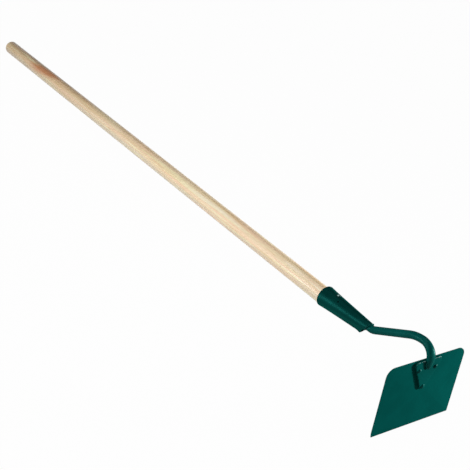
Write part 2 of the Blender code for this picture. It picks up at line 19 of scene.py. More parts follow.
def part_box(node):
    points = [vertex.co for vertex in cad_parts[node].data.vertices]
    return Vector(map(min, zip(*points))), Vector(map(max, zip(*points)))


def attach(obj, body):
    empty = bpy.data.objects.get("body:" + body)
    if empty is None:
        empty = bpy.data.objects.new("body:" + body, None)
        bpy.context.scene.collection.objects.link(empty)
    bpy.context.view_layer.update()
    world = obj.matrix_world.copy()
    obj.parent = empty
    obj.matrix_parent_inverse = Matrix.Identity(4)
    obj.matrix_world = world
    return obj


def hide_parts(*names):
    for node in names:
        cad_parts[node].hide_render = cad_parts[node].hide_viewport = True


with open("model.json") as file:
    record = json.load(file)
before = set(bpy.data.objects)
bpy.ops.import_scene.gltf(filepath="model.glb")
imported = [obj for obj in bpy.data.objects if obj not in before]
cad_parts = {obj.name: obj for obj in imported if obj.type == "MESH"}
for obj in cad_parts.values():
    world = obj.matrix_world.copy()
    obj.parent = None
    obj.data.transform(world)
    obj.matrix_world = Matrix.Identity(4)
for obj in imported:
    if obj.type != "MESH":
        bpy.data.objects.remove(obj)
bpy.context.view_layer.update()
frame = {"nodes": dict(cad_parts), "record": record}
print("Solids:", ", ".join(sorted(frame["nodes"])))

# %% [markdown]
# ## The hoe's own frame
#
# Put down on the ground, the hoe rests on its cutting edge and on the far end of its handle, so
# everything in the scene leans by about three degrees. Shapes are easier to think out on a hoe that
# stands square, so each one is worked out in the hoe's own frame: x points away from the gardener, square
# to the blade, y runs along the blade's width, z up the blade, and the blade's middle is the origin. One
# turn and one move bring the points into the scene. Both are read from the model, which states which way
# the blade's outer face looks and how far the blade reaches.

# %% From the hoe's frame to the scene
BLADE_WIDTH = 0.160
BLADE_HEIGHT = 0.120
BLADE_THICKNESS = 0.0020
BLADE_TOP = BLADE_HEIGHT / 2
BLADE_FRONT = BLADE_THICKNESS / 2

face_direction = frame["record"]["mounts"][0]["axis"]
LEAN = math.atan2(face_direction[2], face_direction[0])
LEAN_TURN = np.array([[math.cos(LEAN), 0, -math.sin(LEAN)],
                      [0, 1, 0],
                      [math.sin(LEAN), 0, math.cos(LEAN)]])
top_corner = LEAN_TURN @ (BLADE_FRONT, 0, BLADE_TOP)
foot_corner = LEAN_TURN @ (BLADE_FRONT, 0, -BLADE_TOP)
blade_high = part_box("blade")[1]
BLADE_MIDDLE = np.array([blade_high[0] - foot_corner[0], 0.0, blade_high[2] - top_corner[2]])


def to_scene(points):
    """Turn points of the hoe's frame by the lean about y, then move them to where the blade's middle is."""
    return np.asarray(points) @ LEAN_TURN.T + BLADE_MIDDLE


def to_hoe(points):
    """The way back: less the blade's middle, turned the other way."""
    return (np.asarray(points) - BLADE_MIDDLE) @ LEAN_TURN


print(f"Lean {math.degrees(LEAN):.3f} degrees, blade's middle at {BLADE_MIDDLE.round(5)}")

# %% [markdown]
# ## From a grid of numbers to a closed mesh
#
# Nearly every piece below is a sheet of points in rows and columns, like cloth on a loom. Joining each
# point to its neighbours gives four-sided faces. Where the last column meets the first the sheet becomes
# a tube, and where a whole row shrinks to one point it closes over. Such points lie on top of each other
# at first, so they are merged, and the faces are then turned to look outward.

# %% Faces of a grid
def grid_faces(rows, columns):
    """Quads between a grid's points, counted row by row, each row joined round to its start."""
    index = np.arange(rows * columns).reshape(rows, columns)
    beside = np.roll(index, -1, axis=1)
    quads = np.stack((index[:-1], beside[:-1], beside[1:], index[1:]), axis=-1)
    return quads.reshape(-1, 4).tolist()


def end_faces(rows, columns):
    """One flat face across the first row and one across the last."""
    return [list(range(columns))[::-1], list(range((rows - 1) * columns, rows * columns))]


# %% A closed mesh object
MERGE_DISTANCE = 0.000004
CREASE = math.radians(35.0)


def close_mesh(mesh):
    """Merge the points that meet at seams and poles, and turn all faces outward."""
    bm = bmesh.new()
    bm.from_mesh(mesh)
    bmesh.ops.remove_doubles(bm, verts=bm.verts, dist=MERGE_DISTANCE)
    bmesh.ops.recalc_face_normals(bm, faces=bm.faces)
    bm.to_mesh(mesh)
    bm.free()


def put_in_scene(name, data):
    """An object for a mesh, a lamp or a camera, linked into the scene."""
    item = bpy.data.objects.new(name, data)
    bpy.context.scene.collection.objects.link(item)
    return item


def new_piece(name, points, ends=False):
    """A closed object from a grid of points in the hoe's frame, smooth except where faces meet sharply."""
    rows, columns = points.shape[:2]
    faces = grid_faces(rows, columns) + (end_faces(rows, columns) if ends else [])
    mesh = bpy.data.meshes.new(name)
    mesh.from_pydata(to_scene(points.reshape(-1, 3)).tolist(), [], faces)
    close_mesh(mesh)
    mesh.shade_smooth()
    mesh.set_sharp_from_angle(angle=CREASE)
    return put_in_scene(name, mesh)


def mesh_points(piece):
    """All the piece's points as one array."""
    flat = np.empty(len(piece.data.vertices) * 3)
    piece.data.vertices.foreach_get("co", flat)
    return flat.reshape(-1, 3)


# %% [markdown]
# ## Pieces that stand for solids
#
# The measured model stays in the scene for its weight and its collisions. A new piece hides the solid
# that it stands for, and rides on the same body. This hoe has no moving parts, so there is only one body,
# the root. Each time, the piece's box is set against its solid's box, because a slip of a millimetre is
# easier to read than to see.

# %% Let a piece stand for a solid
def stand_for(piece, node, finish):
    """Give a piece its finish, and let it ride and be seen in place of its solid."""
    piece.data.materials.clear()
    piece.data.materials.append(finish)
    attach(piece, "root")
    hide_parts(node)
    corners = mesh_points(piece)
    low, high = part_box(node)
    off = max(np.abs(corners.min(0) - low).max(), np.abs(corners.max(0) - high).max())
    print(f"{piece.name}: {len(piece.data.polygons)} faces, box within {off * 1000:.2f} mm of the solid's")


# %% [markdown]
# ## Shapes from the lathe
#
# A handle, a rivet and a nail are all round, and a lathe makes them from one line: the radius at each
# height. Here the line is carried round the axis in even steps. Domed heads are part of a sphere, whose
# radius follows from how wide and how tall the dome is.

# %% Turning a profile
TURN_STEPS = 64


def full_turn(steps):
    """Even angles from 0 up to a full turn, which itself is left out."""
    return np.linspace(0, 2 * np.pi, steps, endpoint=False)


def turned_piece(name, profile, centre, axis, across, steps=TURN_STEPS):
    """Point = centre + height * axis + radius * (cos a * across + sin a * (axis x across)), a from 0 to a
    full turn, for each (radius, height) of a profile that starts and ends on the axis."""
    radius, height = np.asarray(profile, float).T
    angle = full_turn(steps)
    spoke = np.cos(angle)[:, None] * np.asarray(across) + np.sin(angle)[:, None] * np.cross(axis, across)
    middle = np.asarray(centre) + height[:, None] * np.asarray(axis)
    return new_piece(name, middle[:, None] + radius[:, None, None] * spoke)


def dome_profile(radius, height, steps=12):
    """From the tip down: radius R sin a, height R cos a - R + dome height, where the sphere's radius is
    R = (radius^2 + height^2) / (2 height)."""
    sphere = (radius ** 2 + height ** 2) / (2 * height)
    angle = np.linspace(0, math.atan2(radius, sphere - height), steps)
    return np.stack((sphere * np.sin(angle), sphere * np.cos(angle) - sphere + height), axis=1)


# %% [markdown]
# ## Drilled holes
#
# Rivets and the nail go through drilled holes. Cutting holes into a grid by hand is fiddly, and Blender's
# Boolean modifier is made for it: a round bar is placed where each hole goes, and its volume is taken
# away. The modifier's result is then kept as the piece's own mesh, and the bars are thrown out.

# %% Cutting with bars
def cut_away(piece, cutters):
    """Take the cutters' volumes from a piece, keep the result as its mesh, and remove the cutters."""
    for cutter in cutters:
        modifier = piece.modifiers.new(cutter.name, "BOOLEAN")
        modifier.operation, modifier.solver, modifier.object = "DIFFERENCE", "EXACT", cutter
    bpy.context.view_layer.update()
    result = bpy.data.meshes.new_from_object(piece.evaluated_get(bpy.context.evaluated_depsgraph_get()))
    piece.modifiers.clear()
    piece.data = result
    for cutter in cutters:
        bpy.data.meshes.remove(cutter.data)
    close_mesh(piece.data)
    piece.data.set_sharp_from_angle(angle=CREASE)
    return piece


def drill(start, end, radius):
    """A round bar from start to end."""
    start, end = np.asarray(start, float), np.asarray(end, float)
    length = np.linalg.norm(end - start)
    axis = (end - start) / length
    aside = (0.0, 1.0, 0.0) if abs(axis[1]) < abs(axis[2]) + abs(axis[0]) else (1.0, 0.0, 0.0)
    across = np.cross(axis, aside) / np.linalg.norm(np.cross(axis, aside))
    return turned_piece("drill", [(0, 0), (radius, 0), (radius, length), (0, length)], start, axis, across)


# %% [markdown]
# ## Nodes in few words
#
# A finish in Blender is a small network of nodes. Written out in full, it takes several lines for each
# node, so one helper makes a node and sets its options, and another fills its inputs: an output socket of
# another node is linked, and anything else is set as a value. The rest cover what every finish below
# needs: noise, even or stretched along an axis, a change of values from one range to another, ragged
# edges, a mix of two colours, and small bumps.

# %% Nodes and their inputs
NO_SHIFT = (0.0, 0.0, 0.0)
MIX_FIRST, MIX_SECOND, MIX_RESULT = 6, 7, 2  # the Mix node's sockets for colours, by number


def fill_inputs(tree, node, inputs):
    """Link each input to the socket that is given for it, or set it to the value."""
    for socket, value in inputs.items():
        if isinstance(value, bpy.types.NodeSocket):
            tree.links.new(value, node.inputs[socket])
        else:
            node.inputs[socket].default_value = value


def add_node(tree, kind, inputs, **settings):
    """A node with its settings and its inputs."""
    node = tree.nodes.new(kind)
    for setting, value in settings.items():
        setattr(node, setting, value)
    fill_inputs(tree, node, inputs)
    return node


def arithmetic(tree, operation, first, second=0.0):
    """One sum, product or other step of arithmetic on values."""
    return add_node(tree, "ShaderNodeMath", {0: first, 1: second}, operation=operation).outputs[0]


def vector_step(tree, operation, first, second=NO_SHIFT, result="Vector"):
    """One step of arithmetic on places, whose result is a place, or a Value where it is a single number."""
    node = add_node(tree, "ShaderNodeVectorMath", {0: first, 1: second}, operation=operation)
    return node.outputs[result]


# %% Noise, ranges, colours and bumps
NOISE_SPREAD = (0.30, 0.70)  # nearly all of a noise lies between these


def scaled_place(tree, place, scale, shift=NO_SHIFT):
    """(Place + shift) * scale, axis by axis, so that a pattern stretches along an axis."""
    return vector_step(tree, "MULTIPLY", vector_step(tree, "ADD", place, shift), scale)


def noise(tree, place, scale, detail=3.0):
    """Cloudy values round one half, with about scale clouds to a metre."""
    inputs = {"Vector": place, "Scale": scale, "Detail": detail}
    return add_node(tree, "ShaderNodeTexNoise", inputs).outputs["Fac"]


def grain(tree, place, scales, detail=3.0, shift=NO_SHIFT):
    """Noise with a number of clouds to a metre for each axis."""
    return noise(tree, scaled_place(tree, place, scales, shift), 1.0, detail)


def stretch(tree, value, start, end, low=0.0, high=1.0):
    """Smooth change from low to high as the value goes from start to end."""
    inputs = {"Value": value, "From Min": start, "From Max": end, "To Min": low, "To Max": high}
    return add_node(tree, "ShaderNodeMapRange", inputs, interpolation_type="SMOOTHSTEP").outputs["Result"]


def ragged(tree, value, clouds, reach):
    """Value + (clouds - 1/2) * reach, so that an edge drawn at a value wanders."""
    aside = arithmetic(tree, "MULTIPLY", arithmetic(tree, "SUBTRACT", clouds, 0.5), reach)
    return arithmetic(tree, "ADD", value, aside)


def blend_colours(tree, share, first, second):
    """The first colour where the share is 0 and the second where it is 1."""
    first, second = (colour if isinstance(colour, bpy.types.NodeSocket) else (*colour, 1.0)
                     for colour in (first, second))
    inputs = {"Factor": share, MIX_FIRST: first, MIX_SECOND: second}
    return add_node(tree, "ShaderNodeMix", inputs, data_type="RGBA").outputs[MIX_RESULT]


def bumps(tree, height, depth, below=None):
    """The way the surface faces when it rises by the depth where the height is 1, on top of bumps below."""
    inputs = {"Height": height, "Distance": depth, "Strength": 1.0}
    if below is not None:
        inputs["Normal"] = below
    return add_node(tree, "ShaderNodeBump", inputs).outputs["Normal"]


# %% A new finish
def new_finish(name):
    """A material, its node tree, its shader, and its place in the hoe's frame as a socket."""
    finish = bpy.data.materials.new(name)
    finish.use_nodes = True
    tree = finish.node_tree
    place = add_node(tree, "ShaderNodeTexCoord", {}).outputs["Object"]
    turned = {"Vector": place, "Location": BLADE_MIDDLE, "Rotation": (0.0, -LEAN, 0.0)}
    mapping = add_node(tree, "ShaderNodeMapping", turned, vector_type="TEXTURE")
    return finish, tree, tree.nodes["Principled BSDF"], mapping.outputs["Vector"]


# %% [markdown]
# ## Dark green enamel
#
# All the steel was sprayed with one dark green enamel. In the light it is never one flat colour: it is
# thicker in one place than in another, its gloss comes and goes, and its skin has the fine dimples that
# painters call orange peel. On sharp edges the coat draws back and is rubbed thin first. Along the top
# edge of the neck's plate a pale painted highlight stands where the rounded edge catches the light. So
# the colour drifts between two greens, a second noise sets the roughness, a fine noise gives the
# dimples, a coarser one the dents in the steel, and a number stored on the mesh says where an edge is.
# Each piece gets its own copy of the enamel, made darker (socket, neck and welds) and lighter (blade and
# plate) by a shade factor: that is painted shade and light, not a different paint. Two things mirror in
# it: a little green lustre in the paint itself, and a thin clear skin on top, which gives small pale
# lights where a bend turns to a lamp.

# %% The enamel
ENAMEL_DEEP = np.array([0.0004, 0.0620, 0.0540])
ENAMEL_FRESH = np.array([0.0008, 0.0860, 0.0750])
ENAMEL_RUBBED = np.array([0.0060, 0.1200, 0.1020])
# A pale green that is a painted highlight, for the top edge of the neck's plate.
ENAMEL_PAINTED_HIGHLIGHT = np.array([0.4500, 0.7200, 0.6800])
ENAMEL_TINT = (0.02, 0.90, 0.80, 1.0)
EVEN = (1.0, 1.0, 1.0)
DRIFT_SCALE, DRIFT_RANGE = 34.0, (0.35, 0.65)
WEAR_AND_HIGHLIGHT_SCALE, WEAR_AND_HIGHLIGHT_RANGE = 260.0, (0.35, 0.62)
GLOSS_SCALE, GLOSS_DETAIL = 90.0, 4.0
DENT_SCALE, DENT_DETAIL = 130.0, 2.0
PEEL_SCALE, PEEL_DETAIL, PEEL_DEPTH = 1100.0, 1.0, 0.00002


def enamel(name, lustre, gloss, shade=1.0, drift=1.0, streaks=EVEN, dents=0.0, shine=0.0,
           edge_wear_and_highlight=ENAMEL_RUBBED):
    """The green coat. Lustre is its metallic share, gloss its lowest and highest roughness, shade how much
    darker and lighter this piece's copy is made, which is painted shade and light, drift how far its colour
    wanders and streaks along which axes, dents the depth of the marks in the steel under it, shine the
    strength of the clear skin, and the edge colour that of its worn edges, which on the plate is a pale
    painted highlight instead."""
    finish, tree, shader, place = new_finish(name)
    clouds = noise(tree, scaled_place(tree, place, streaks), DRIFT_SCALE)
    between = stretch(tree, clouds, *DRIFT_RANGE, (1 - drift) / 2, (1 + drift) / 2)
    tone = blend_colours(tree, between, shade * ENAMEL_DEEP, shade * ENAMEL_FRESH)
    # The stored edge share marks worn edges, and on the plate's top edge a pale painted highlight.
    wear_and_highlight = add_node(tree, "ShaderNodeAttribute", {}, attribute_name="wear_and_highlight").outputs["Fac"]
    patches = stretch(tree, noise(tree, place, WEAR_AND_HIGHLIGHT_SCALE), *WEAR_AND_HIGHLIGHT_RANGE)
    tone = blend_colours(tree, arithmetic(tree, "MULTIPLY", wear_and_highlight, patches), tone, shade * edge_wear_and_highlight)
    roughness = stretch(tree, noise(tree, place, GLOSS_SCALE, GLOSS_DETAIL), *NOISE_SPREAD, *gloss)
    peel = bumps(tree, noise(tree, place, PEEL_SCALE, PEEL_DETAIL), PEEL_DEPTH)
    marks = bumps(tree, noise(tree, place, DENT_SCALE, DENT_DETAIL), dents, peel)
    fill_inputs(tree, shader, {
        "Base Color": tone, "Roughness": roughness, "Normal": marks, "Metallic": lustre,
        "Specular IOR Level": 0.0, "Specular Tint": ENAMEL_TINT, "Coat Weight": shine,
        "Coat Roughness": gloss[0]})
    return finish


def mark_wear_and_highlight(piece, depth, reach):
    """Store on each point a share that marks worn edges, and on the plate the painted highlight: 1 on the
    edge, falling to 0 where the depth below it passes the reach. Depth is a function that takes all points
    in the hoe's frame."""
    wear_and_highlight = np.clip(1 - depth(to_hoe(mesh_points(piece))) / reach, 0, 1)
    piece.data.attributes.new("wear_and_highlight", "FLOAT", "POINT").data.foreach_set("value", wear_and_highlight)
    print(f"{piece.name}: {int((wear_and_highlight > 0).sum())} points on worn edges")


# %% [markdown]
# ## The neck's bent bar
#
# The neck is one round steel bar, bent cold in one plane. A bar like that is all straight runs and round
# bends, which is the same as saying that its heading changes evenly along its length. So the heading is
# laid out first, against the distance along the bar, and adding up small steps in that direction gives
# the path. A curve could be drawn by eye instead, but then no bend would have a true radius.

# %% The neck's path
CLEARANCE = 0.0003
PLATE_THICKNESS = 0.0030
PLATE_FRONT = BLADE_FRONT + CLEARANCE + PLATE_THICKNESS
PLATE_BELOW_TOP = 0.0010
PLATE_TOP = BLADE_TOP - PLATE_BELOW_TOP
NECK_RADIUS = 0.00625
RISE_ANGLE, CROWN_ANGLE, LEG_ANGLE = np.radians((27.2, 2.8, -86.0))
SEAT_RUN, RISE_RUN, LEG_RUN = 0.027, 0.0743, 0.0155
REAR_BEND, SHOULDER_BEND, CROWN_BEND = 0.022, 0.0658, 0.0213
NECK_RUNS = [  # length of a straight run, or (radius, new heading) of a bend
    SEAT_RUN, (REAR_BEND, RISE_ANGLE), RISE_RUN, (SHOULDER_BEND, CROWN_ANGLE), (CROWN_BEND, LEG_ANGLE),
    LEG_RUN]
TOE_STANDOFF, TOE_DROP = 0.0014, 0.0151
NECK_TOE = (PLATE_FRONT + CLEARANCE + TOE_STANDOFF, BLADE_TOP - TOE_DROP)


def running_sum(steps):
    """0, and then the sum of the steps so far."""
    return np.append(0, np.cumsum(steps))


def neck_path(step=0.0005):
    """Distance along the bar, x, z, heading, and where each run ends: x and z are the running sums of the
    heading's cos and sin, moved so that the last point is the toe."""
    marks, headings = [0.0], [0.0]
    for run in NECK_RUNS:
        length, heading = (run, headings[-1]) if np.isscalar(run) else (
            run[0] * abs(run[1] - headings[-1]), run[1])
        marks.append(marks[-1] + length)
        headings.append(heading)
    along = np.linspace(0, marks[-1], int(marks[-1] / step) + 1)
    heading = np.interp(along, marks, headings)
    middle = (heading[1:] + heading[:-1]) / 2
    x = running_sum(np.cos(middle) * np.diff(along))
    z = running_sum(np.sin(middle) * np.diff(along))
    return along, x - x[-1] + NECK_TOE[0], z - z[-1] + NECK_TOE[1], heading, marks


neck_along, neck_x, neck_z, neck_heading, neck_marks = neck_path()
print(f"Neck: {neck_marks[-1] * 1000:.1f} mm of bar in {len(NECK_RUNS)} runs")

# %% [markdown]
# ## The neck's sections
#
# The smith draws the bar flatter towards the toe, so that it lies well on the plate, and steel that gets
# thinner gets wider: half width times half thickness stays the same. The toe ends in a round nose. Last,
# the side that faces the blade is scarfed flat. Here each point that would lie inside the plate or the
# blade is moved out to its face, which is what a grinder does.

# %% The neck
NECK_FLAT_WIDTH = 0.0160
NOSE_TAPER = 0.45
NOSE_END = 0.985


def ease(value):
    """Smooth step from 0 to 1: 3 v^2 - 2 v^3."""
    value = np.clip(value, 0, 1)
    return value * value * (3 - 2 * value)


def neck_sections():
    """Half width, half thickness and nose share along the bar: width grows with the bend, width times
    thickness is the radius squared, and the nose is (1 - taper s) * sqrt(1 - s^3), s from 0 to 1 down
    the leg."""
    flat = ease((CROWN_ANGLE - neck_heading) / (CROWN_ANGLE - LEG_ANGLE))
    wide = NECK_RADIUS + (NECK_FLAT_WIDTH / 2 - NECK_RADIUS) * flat
    leg_share = NOSE_END * np.clip((neck_along - neck_marks[-2]) / LEG_RUN, 0, 1)
    nose = (1 - NOSE_TAPER * leg_share) * np.sqrt(1 - leg_share ** 3)
    return wide, NECK_RADIUS ** 2 / wide, nose


def neck_points(steps=TURN_STEPS):
    """Ellipse round each station of the path: sideways wide * cos a, and thick * sin a square to the
    heading. Points near the blade are kept out of the faces that the neck lies on."""
    wide, thick, nose = neck_sections()
    angle = full_turn(steps)
    lift = np.where(np.sin(angle) > 0, (thick * nose)[:, None], thick[:, None]) * np.sin(angle)
    x = neck_x[:, None] - lift * np.sin(neck_heading)[:, None]
    y = (wide * nose)[:, None] * np.cos(angle)
    z = neck_z[:, None] + lift * np.cos(neck_heading)[:, None]
    face = np.where(z < PLATE_TOP + CLEARANCE, PLATE_FRONT + CLEARANCE / 2, BLADE_FRONT + CLEARANCE)
    beside_blade = (neck_x[:, None] > -NECK_FLAT_WIDTH) & (z < BLADE_TOP + CLEARANCE)
    return np.stack((np.where(beside_blade, np.maximum(x, face), x), y, z), axis=-1)


neck = new_piece("bent_neck", neck_points(), ends=True)
# The neck's copy of the enamel is made a little darker: painted shade.
neck_finish = enamel("neck_enamel", lustre=0.10, gloss=(0.30, 0.40), shade=0.93, drift=0.6, dents=0.00006,
                     shine=0.05)
stand_for(neck, "swan_neck", neck_finish)

# %% [markdown]
# ## The rolled socket
#
# The socket is a fan of sheet steel, rolled round the handle and pinched round the neck. Rolled sheet is
# straight along every line that runs down it, so the shape is a row of straight lines between two ends: a
# round mouth, and a narrow drop-shaped end that is cut off at a slant. Each section is the hull of two
# circles, one above the other. Close to the mouth the sheet opens a little into a bell, and close to the
# slant its foot turns down.

# %% Sizes of the socket
SOCKET_LENGTH = 0.1095
SOCKET_WALL = 0.0013
MOUTH_RADIUS, MOUTH_RISE = 0.0175, 0.0015
GRIP_RADIUS, GRIP_RISE = NECK_RADIUS + CLEARANCE + SOCKET_WALL, 0.0070
THROAT_RADIUS, THROAT_DROP = 0.0021, 0.0072
BELL, BELL_LENGTH = 0.0006, 0.036
FLARE, FLARE_LENGTH = 0.0016, 0.009
SLANT = math.radians(56.0)
SEAM = 0.0008

LIP_X = float(np.interp(neck_marks[1], neck_along, neck_x))
MOUTH_X = LIP_X - SOCKET_LENGTH
AXIS_Z = float(np.interp(neck_marks[1], neck_along, neck_z)) - GRIP_RISE
LIP_TOP = AXIS_Z + GRIP_RISE + GRIP_RADIUS
FLANK = math.asin((GRIP_RADIUS - THROAT_RADIUS) / (GRIP_RISE + THROAT_DROP))
FOOT_SLOPE = (MOUTH_RADIUS - THROAT_RADIUS - THROAT_DROP - MOUTH_RISE) / SOCKET_LENGTH
LIP_DEPTH = GRIP_RISE + GRIP_RADIUS + THROAT_DROP + THROAT_RADIUS + FLARE
LOWEST_X = LIP_X - LIP_DEPTH / (math.tan(SLANT) - FOOT_SLOPE)
print(f"Socket from x = {MOUTH_X * 1000:.1f} to {LIP_X * 1000:.1f} mm, axis at z = {AXIS_Z * 1000:.1f} mm")


# %% [markdown]
# ## Lines, sections and lips of the sheet
#
# A few small functions make the sheet. The first lists the lines that run down it, from one edge of the
# seam over the top to the other. The next two say where each line is at a given distance from the mouth:
# on which circle, and at which point of it. The last two find where each line meets the slanted cut, by
# guessing and correcting until the guess no longer moves.

# %% The sheet's lines
def sheet_lines(foot_steps=14, flank_steps=12, over_steps=110):
    """Angle in the section and share of the top circle for each line: up the foot's arc, up the flat flank,
    over the top circle, and the same down the other side."""
    foot = np.linspace(-np.pi / 2, -FLANK, foot_steps)
    flank = np.linspace(0, 1, flank_steps)[1:-1]
    over = np.linspace(-FLANK, np.pi + FLANK, over_steps)
    angle = np.concatenate((foot, np.full(len(flank), -FLANK), over,
                            np.full(len(flank), np.pi + FLANK), np.pi - foot[::-1]))
    top_share = np.concatenate((np.zeros(len(foot)), flank, np.ones(len(over)), flank[::-1],
                                np.zeros(len(foot))))
    return angle, top_share


def circle_at(x, top_share):
    """Height above the axis and radius of the section's circle at x: the top and the foot circle each run
    straight from mouth to lip, and the share mixes them."""
    down = (x - MOUTH_X) / SOCKET_LENGTH
    foot = MOUTH_RISE - (THROAT_DROP + MOUTH_RISE) * down
    foot = foot - FLARE * np.maximum(0, (x - LOWEST_X) / FLARE_LENGTH + 1) ** 2
    foot_radius = MOUTH_RADIUS + (THROAT_RADIUS - MOUTH_RADIUS) * down
    top = MOUTH_RISE + (GRIP_RISE - MOUTH_RISE) * down
    top_radius = MOUTH_RADIUS + (GRIP_RADIUS - MOUTH_RADIUS) * down
    bell = BELL * np.maximum(0, 1 - (x - MOUTH_X) / BELL_LENGTH) ** 2
    return foot + (top - foot) * top_share, foot_radius + (top_radius - foot_radius) * top_share + bell


def sheet_at(x, angle, top_share, inset):
    """y and z of the sheet at x: circle's centre + (radius - inset) * (cos a, sin a)."""
    centre, radius = circle_at(x, top_share)
    return (radius - inset) * np.cos(angle), AXIS_Z + centre + (radius - inset) * np.sin(angle)


def slant_x(z):
    """x of the slanted cut at a height: lip - (top of the lip - z) / tan slant."""
    return LIP_X - (LIP_TOP - z) / math.tan(SLANT)


def slanted_end(angle, top_share, inset, rounds=30):
    """x where each line meets the slant: the cut's x at the line's height, repeated till it settles."""
    x = np.full(np.broadcast(angle, inset).shape, LIP_X)
    for _ in range(rounds):
        x = slant_x(sheet_at(x, angle, top_share, inset)[1])
    return x


# %% The sheet with its thickness
def socket_points(rows=110, lip_steps=6):
    """Rings of the sheet, out along its outside and back along its inside, from the mouth to the slant.
    Over half a wall at either end the half thickness follows a quarter circle, so both lips are round."""
    angle, top_share = sheet_lines()
    half = SOCKET_WALL / 2
    turn = np.linspace(0, np.pi / 2, lip_steps)
    lip = half * (1 - np.cos(turn))
    body = np.linspace(0, 1, rows)[1:-1]
    down = np.concatenate((np.zeros(lip_steps), body, np.ones(lip_steps)))[:, None]
    shift = np.concatenate((lip, half * (1 - 2 * body), -lip[::-1]))[:, None]
    end_wall = half * np.sin(turn)
    wall = np.concatenate((end_wall, np.full(len(body), half), end_wall[::-1]))[:, None]
    near_edge = np.arange(len(angle)) < len(angle) // 2
    sides = []
    for inset in (half - wall, half + wall):
        x = MOUTH_X + shift + down * (slanted_end(angle, top_share, inset) - MOUTH_X)
        y, z = sheet_at(x, angle, top_share, inset)
        y = np.where(near_edge, np.maximum(y, SEAM / 2), np.minimum(y, -SEAM / 2))
        sides.append(np.stack((x, y, z), axis=-1))
    return np.concatenate((sides[0], sides[1][:, ::-1]), axis=1)


socket = new_piece("rolled_socket", socket_points())
print(f"Socket: {len(socket.data.polygons)} faces before drilling")

# %% [markdown]
# ## Holes for the nail
#
# The socket has two small holes. The nail went into the one on top. The other sits a tenth of a turn to
# the side and a little nearer the neck, and was left empty: such sockets are punched for either. The
# handle's wood has a blind hole below the first one.

# %% Nail holes in the socket
NAIL_FROM_MOUTH, SPARE_FROM_MOUTH = 0.0288, 0.0381
NAIL_X, SPARE_X = MOUTH_X + NAIL_FROM_MOUTH, MOUTH_X + SPARE_FROM_MOUTH
NAIL_HEAD, NAIL_HEIGHT = 0.0035, 0.0018
NAIL_SHANK, NAIL_LENGTH, NAIL_POINT = 0.00175, 0.025, 0.004
SPARE_RADIUS, SPARE_ANGLE = 0.0015, math.radians(36.0)
DRILL_REACH = 0.05

spare_outward = np.array([0, -math.sin(SPARE_ANGLE), math.cos(SPARE_ANGLE)])
spare_middle = np.array([SPARE_X, 0, AXIS_Z + circle_at(SPARE_X, 1.0)[0]])
NAIL_SEAT = float(sheet_at(NAIL_X - NAIL_HEAD, np.pi / 2, 1.0, 0.0)[1]) + CLEARANCE


def nail_drill(foot):
    """An upright bar for the nail's hole, from the height of its foot."""
    return drill((NAIL_X, 0, foot), (NAIL_X, 0, foot + DRILL_REACH), NAIL_SHANK + CLEARANCE)


spare_drill = drill(spare_middle + spare_outward * NECK_RADIUS, spare_middle + spare_outward * DRILL_REACH,
                    SPARE_RADIUS)
cut_away(socket, [nail_drill(AXIS_Z), spare_drill])


def depth_from_lips(points):
    """Distance along the socket to the nearer of its two ends."""
    return np.minimum(points[:, 0] - MOUTH_X, slant_x(points[:, 2]) - points[:, 0])


mark_wear_and_highlight(socket, depth_from_lips, SOCKET_WALL)
# The socket's copy is made less than half as light as the others: painted shade on one and the same paint.
socket_finish = enamel("socket_enamel", lustre=0.55, gloss=(0.40, 0.48), shade=0.47,
                       streaks=(0.25, 1.0, 1.0), dents=0.00008, shine=0.03)
stand_for(socket, "socket", socket_finish)

# %% [markdown]
# ## Flat sheets with round corners
#
# The blade and the shield-shaped plate are cut from sheet. A round corner is an arc, so an outline is
# known from its corners alone: centre, radius, and the two directions between which it turns. Making
# every radius smaller by the same amount gives the outline's exact inner offset, which is what a rounded
# edge needs.

# %% Outlines and their rounded edges
def outline_points(corners, offset, steps=14):
    """Rounded outline across the blade: centre + (radius - offset) * (cos a, sin a) round each corner of
    (y, z, radius, first angle, last angle)."""
    y, z, radius, first, last = np.array(corners).T[:, :, None]
    angle = first + (last - first) * np.linspace(0, 1, steps)
    flat = np.stack((y + (radius - offset) * np.cos(angle), z + (radius - offset) * np.sin(angle)), axis=-1)
    return flat.reshape(-1, 2)


def sheet_points(corners, middle, thickness, edge_round, steps=6):
    """Rings of the outline from the front face round the edge to the back face. Each edge is a quarter
    circle: inset r (1 - sin a) and x = half thickness - r (1 - cos a)."""
    turn = np.linspace(0, np.pi / 2, steps)
    inset = edge_round * (1 - np.sin(turn))
    x = thickness / 2 - edge_round * (1 - np.cos(turn))
    x, inset = np.append(x, -x[::-1]), np.append(inset, inset[::-1])
    flat = np.array([outline_points(corners, amount) for amount in inset])
    ring_x = np.broadcast_to((middle + x)[:, None], flat.shape[:2])
    return np.concatenate((ring_x[..., None], flat), axis=-1)


# %% The blade's and the plate's outlines
BLADE_CORNER, BLADE_FOOT_CORNER = 0.0145, 0.0009
BLADE_EDGE_ROUND = 0.0004
QUARTER = np.pi / 2
blade_side, blade_foot = BLADE_WIDTH / 2 - BLADE_CORNER, BLADE_WIDTH / 2 - BLADE_FOOT_CORNER
blade_corners = [(blade_foot, -BLADE_TOP + BLADE_FOOT_CORNER, BLADE_FOOT_CORNER, -QUARTER, 0),
                 (blade_side, BLADE_TOP - BLADE_CORNER, BLADE_CORNER, 0, QUARTER),
                 (-blade_side, BLADE_TOP - BLADE_CORNER, BLADE_CORNER, QUARTER, 2 * QUARTER),
                 (-blade_foot, -BLADE_TOP + BLADE_FOOT_CORNER, BLADE_FOOT_CORNER, 2 * QUARTER,
                  3 * QUARTER)]

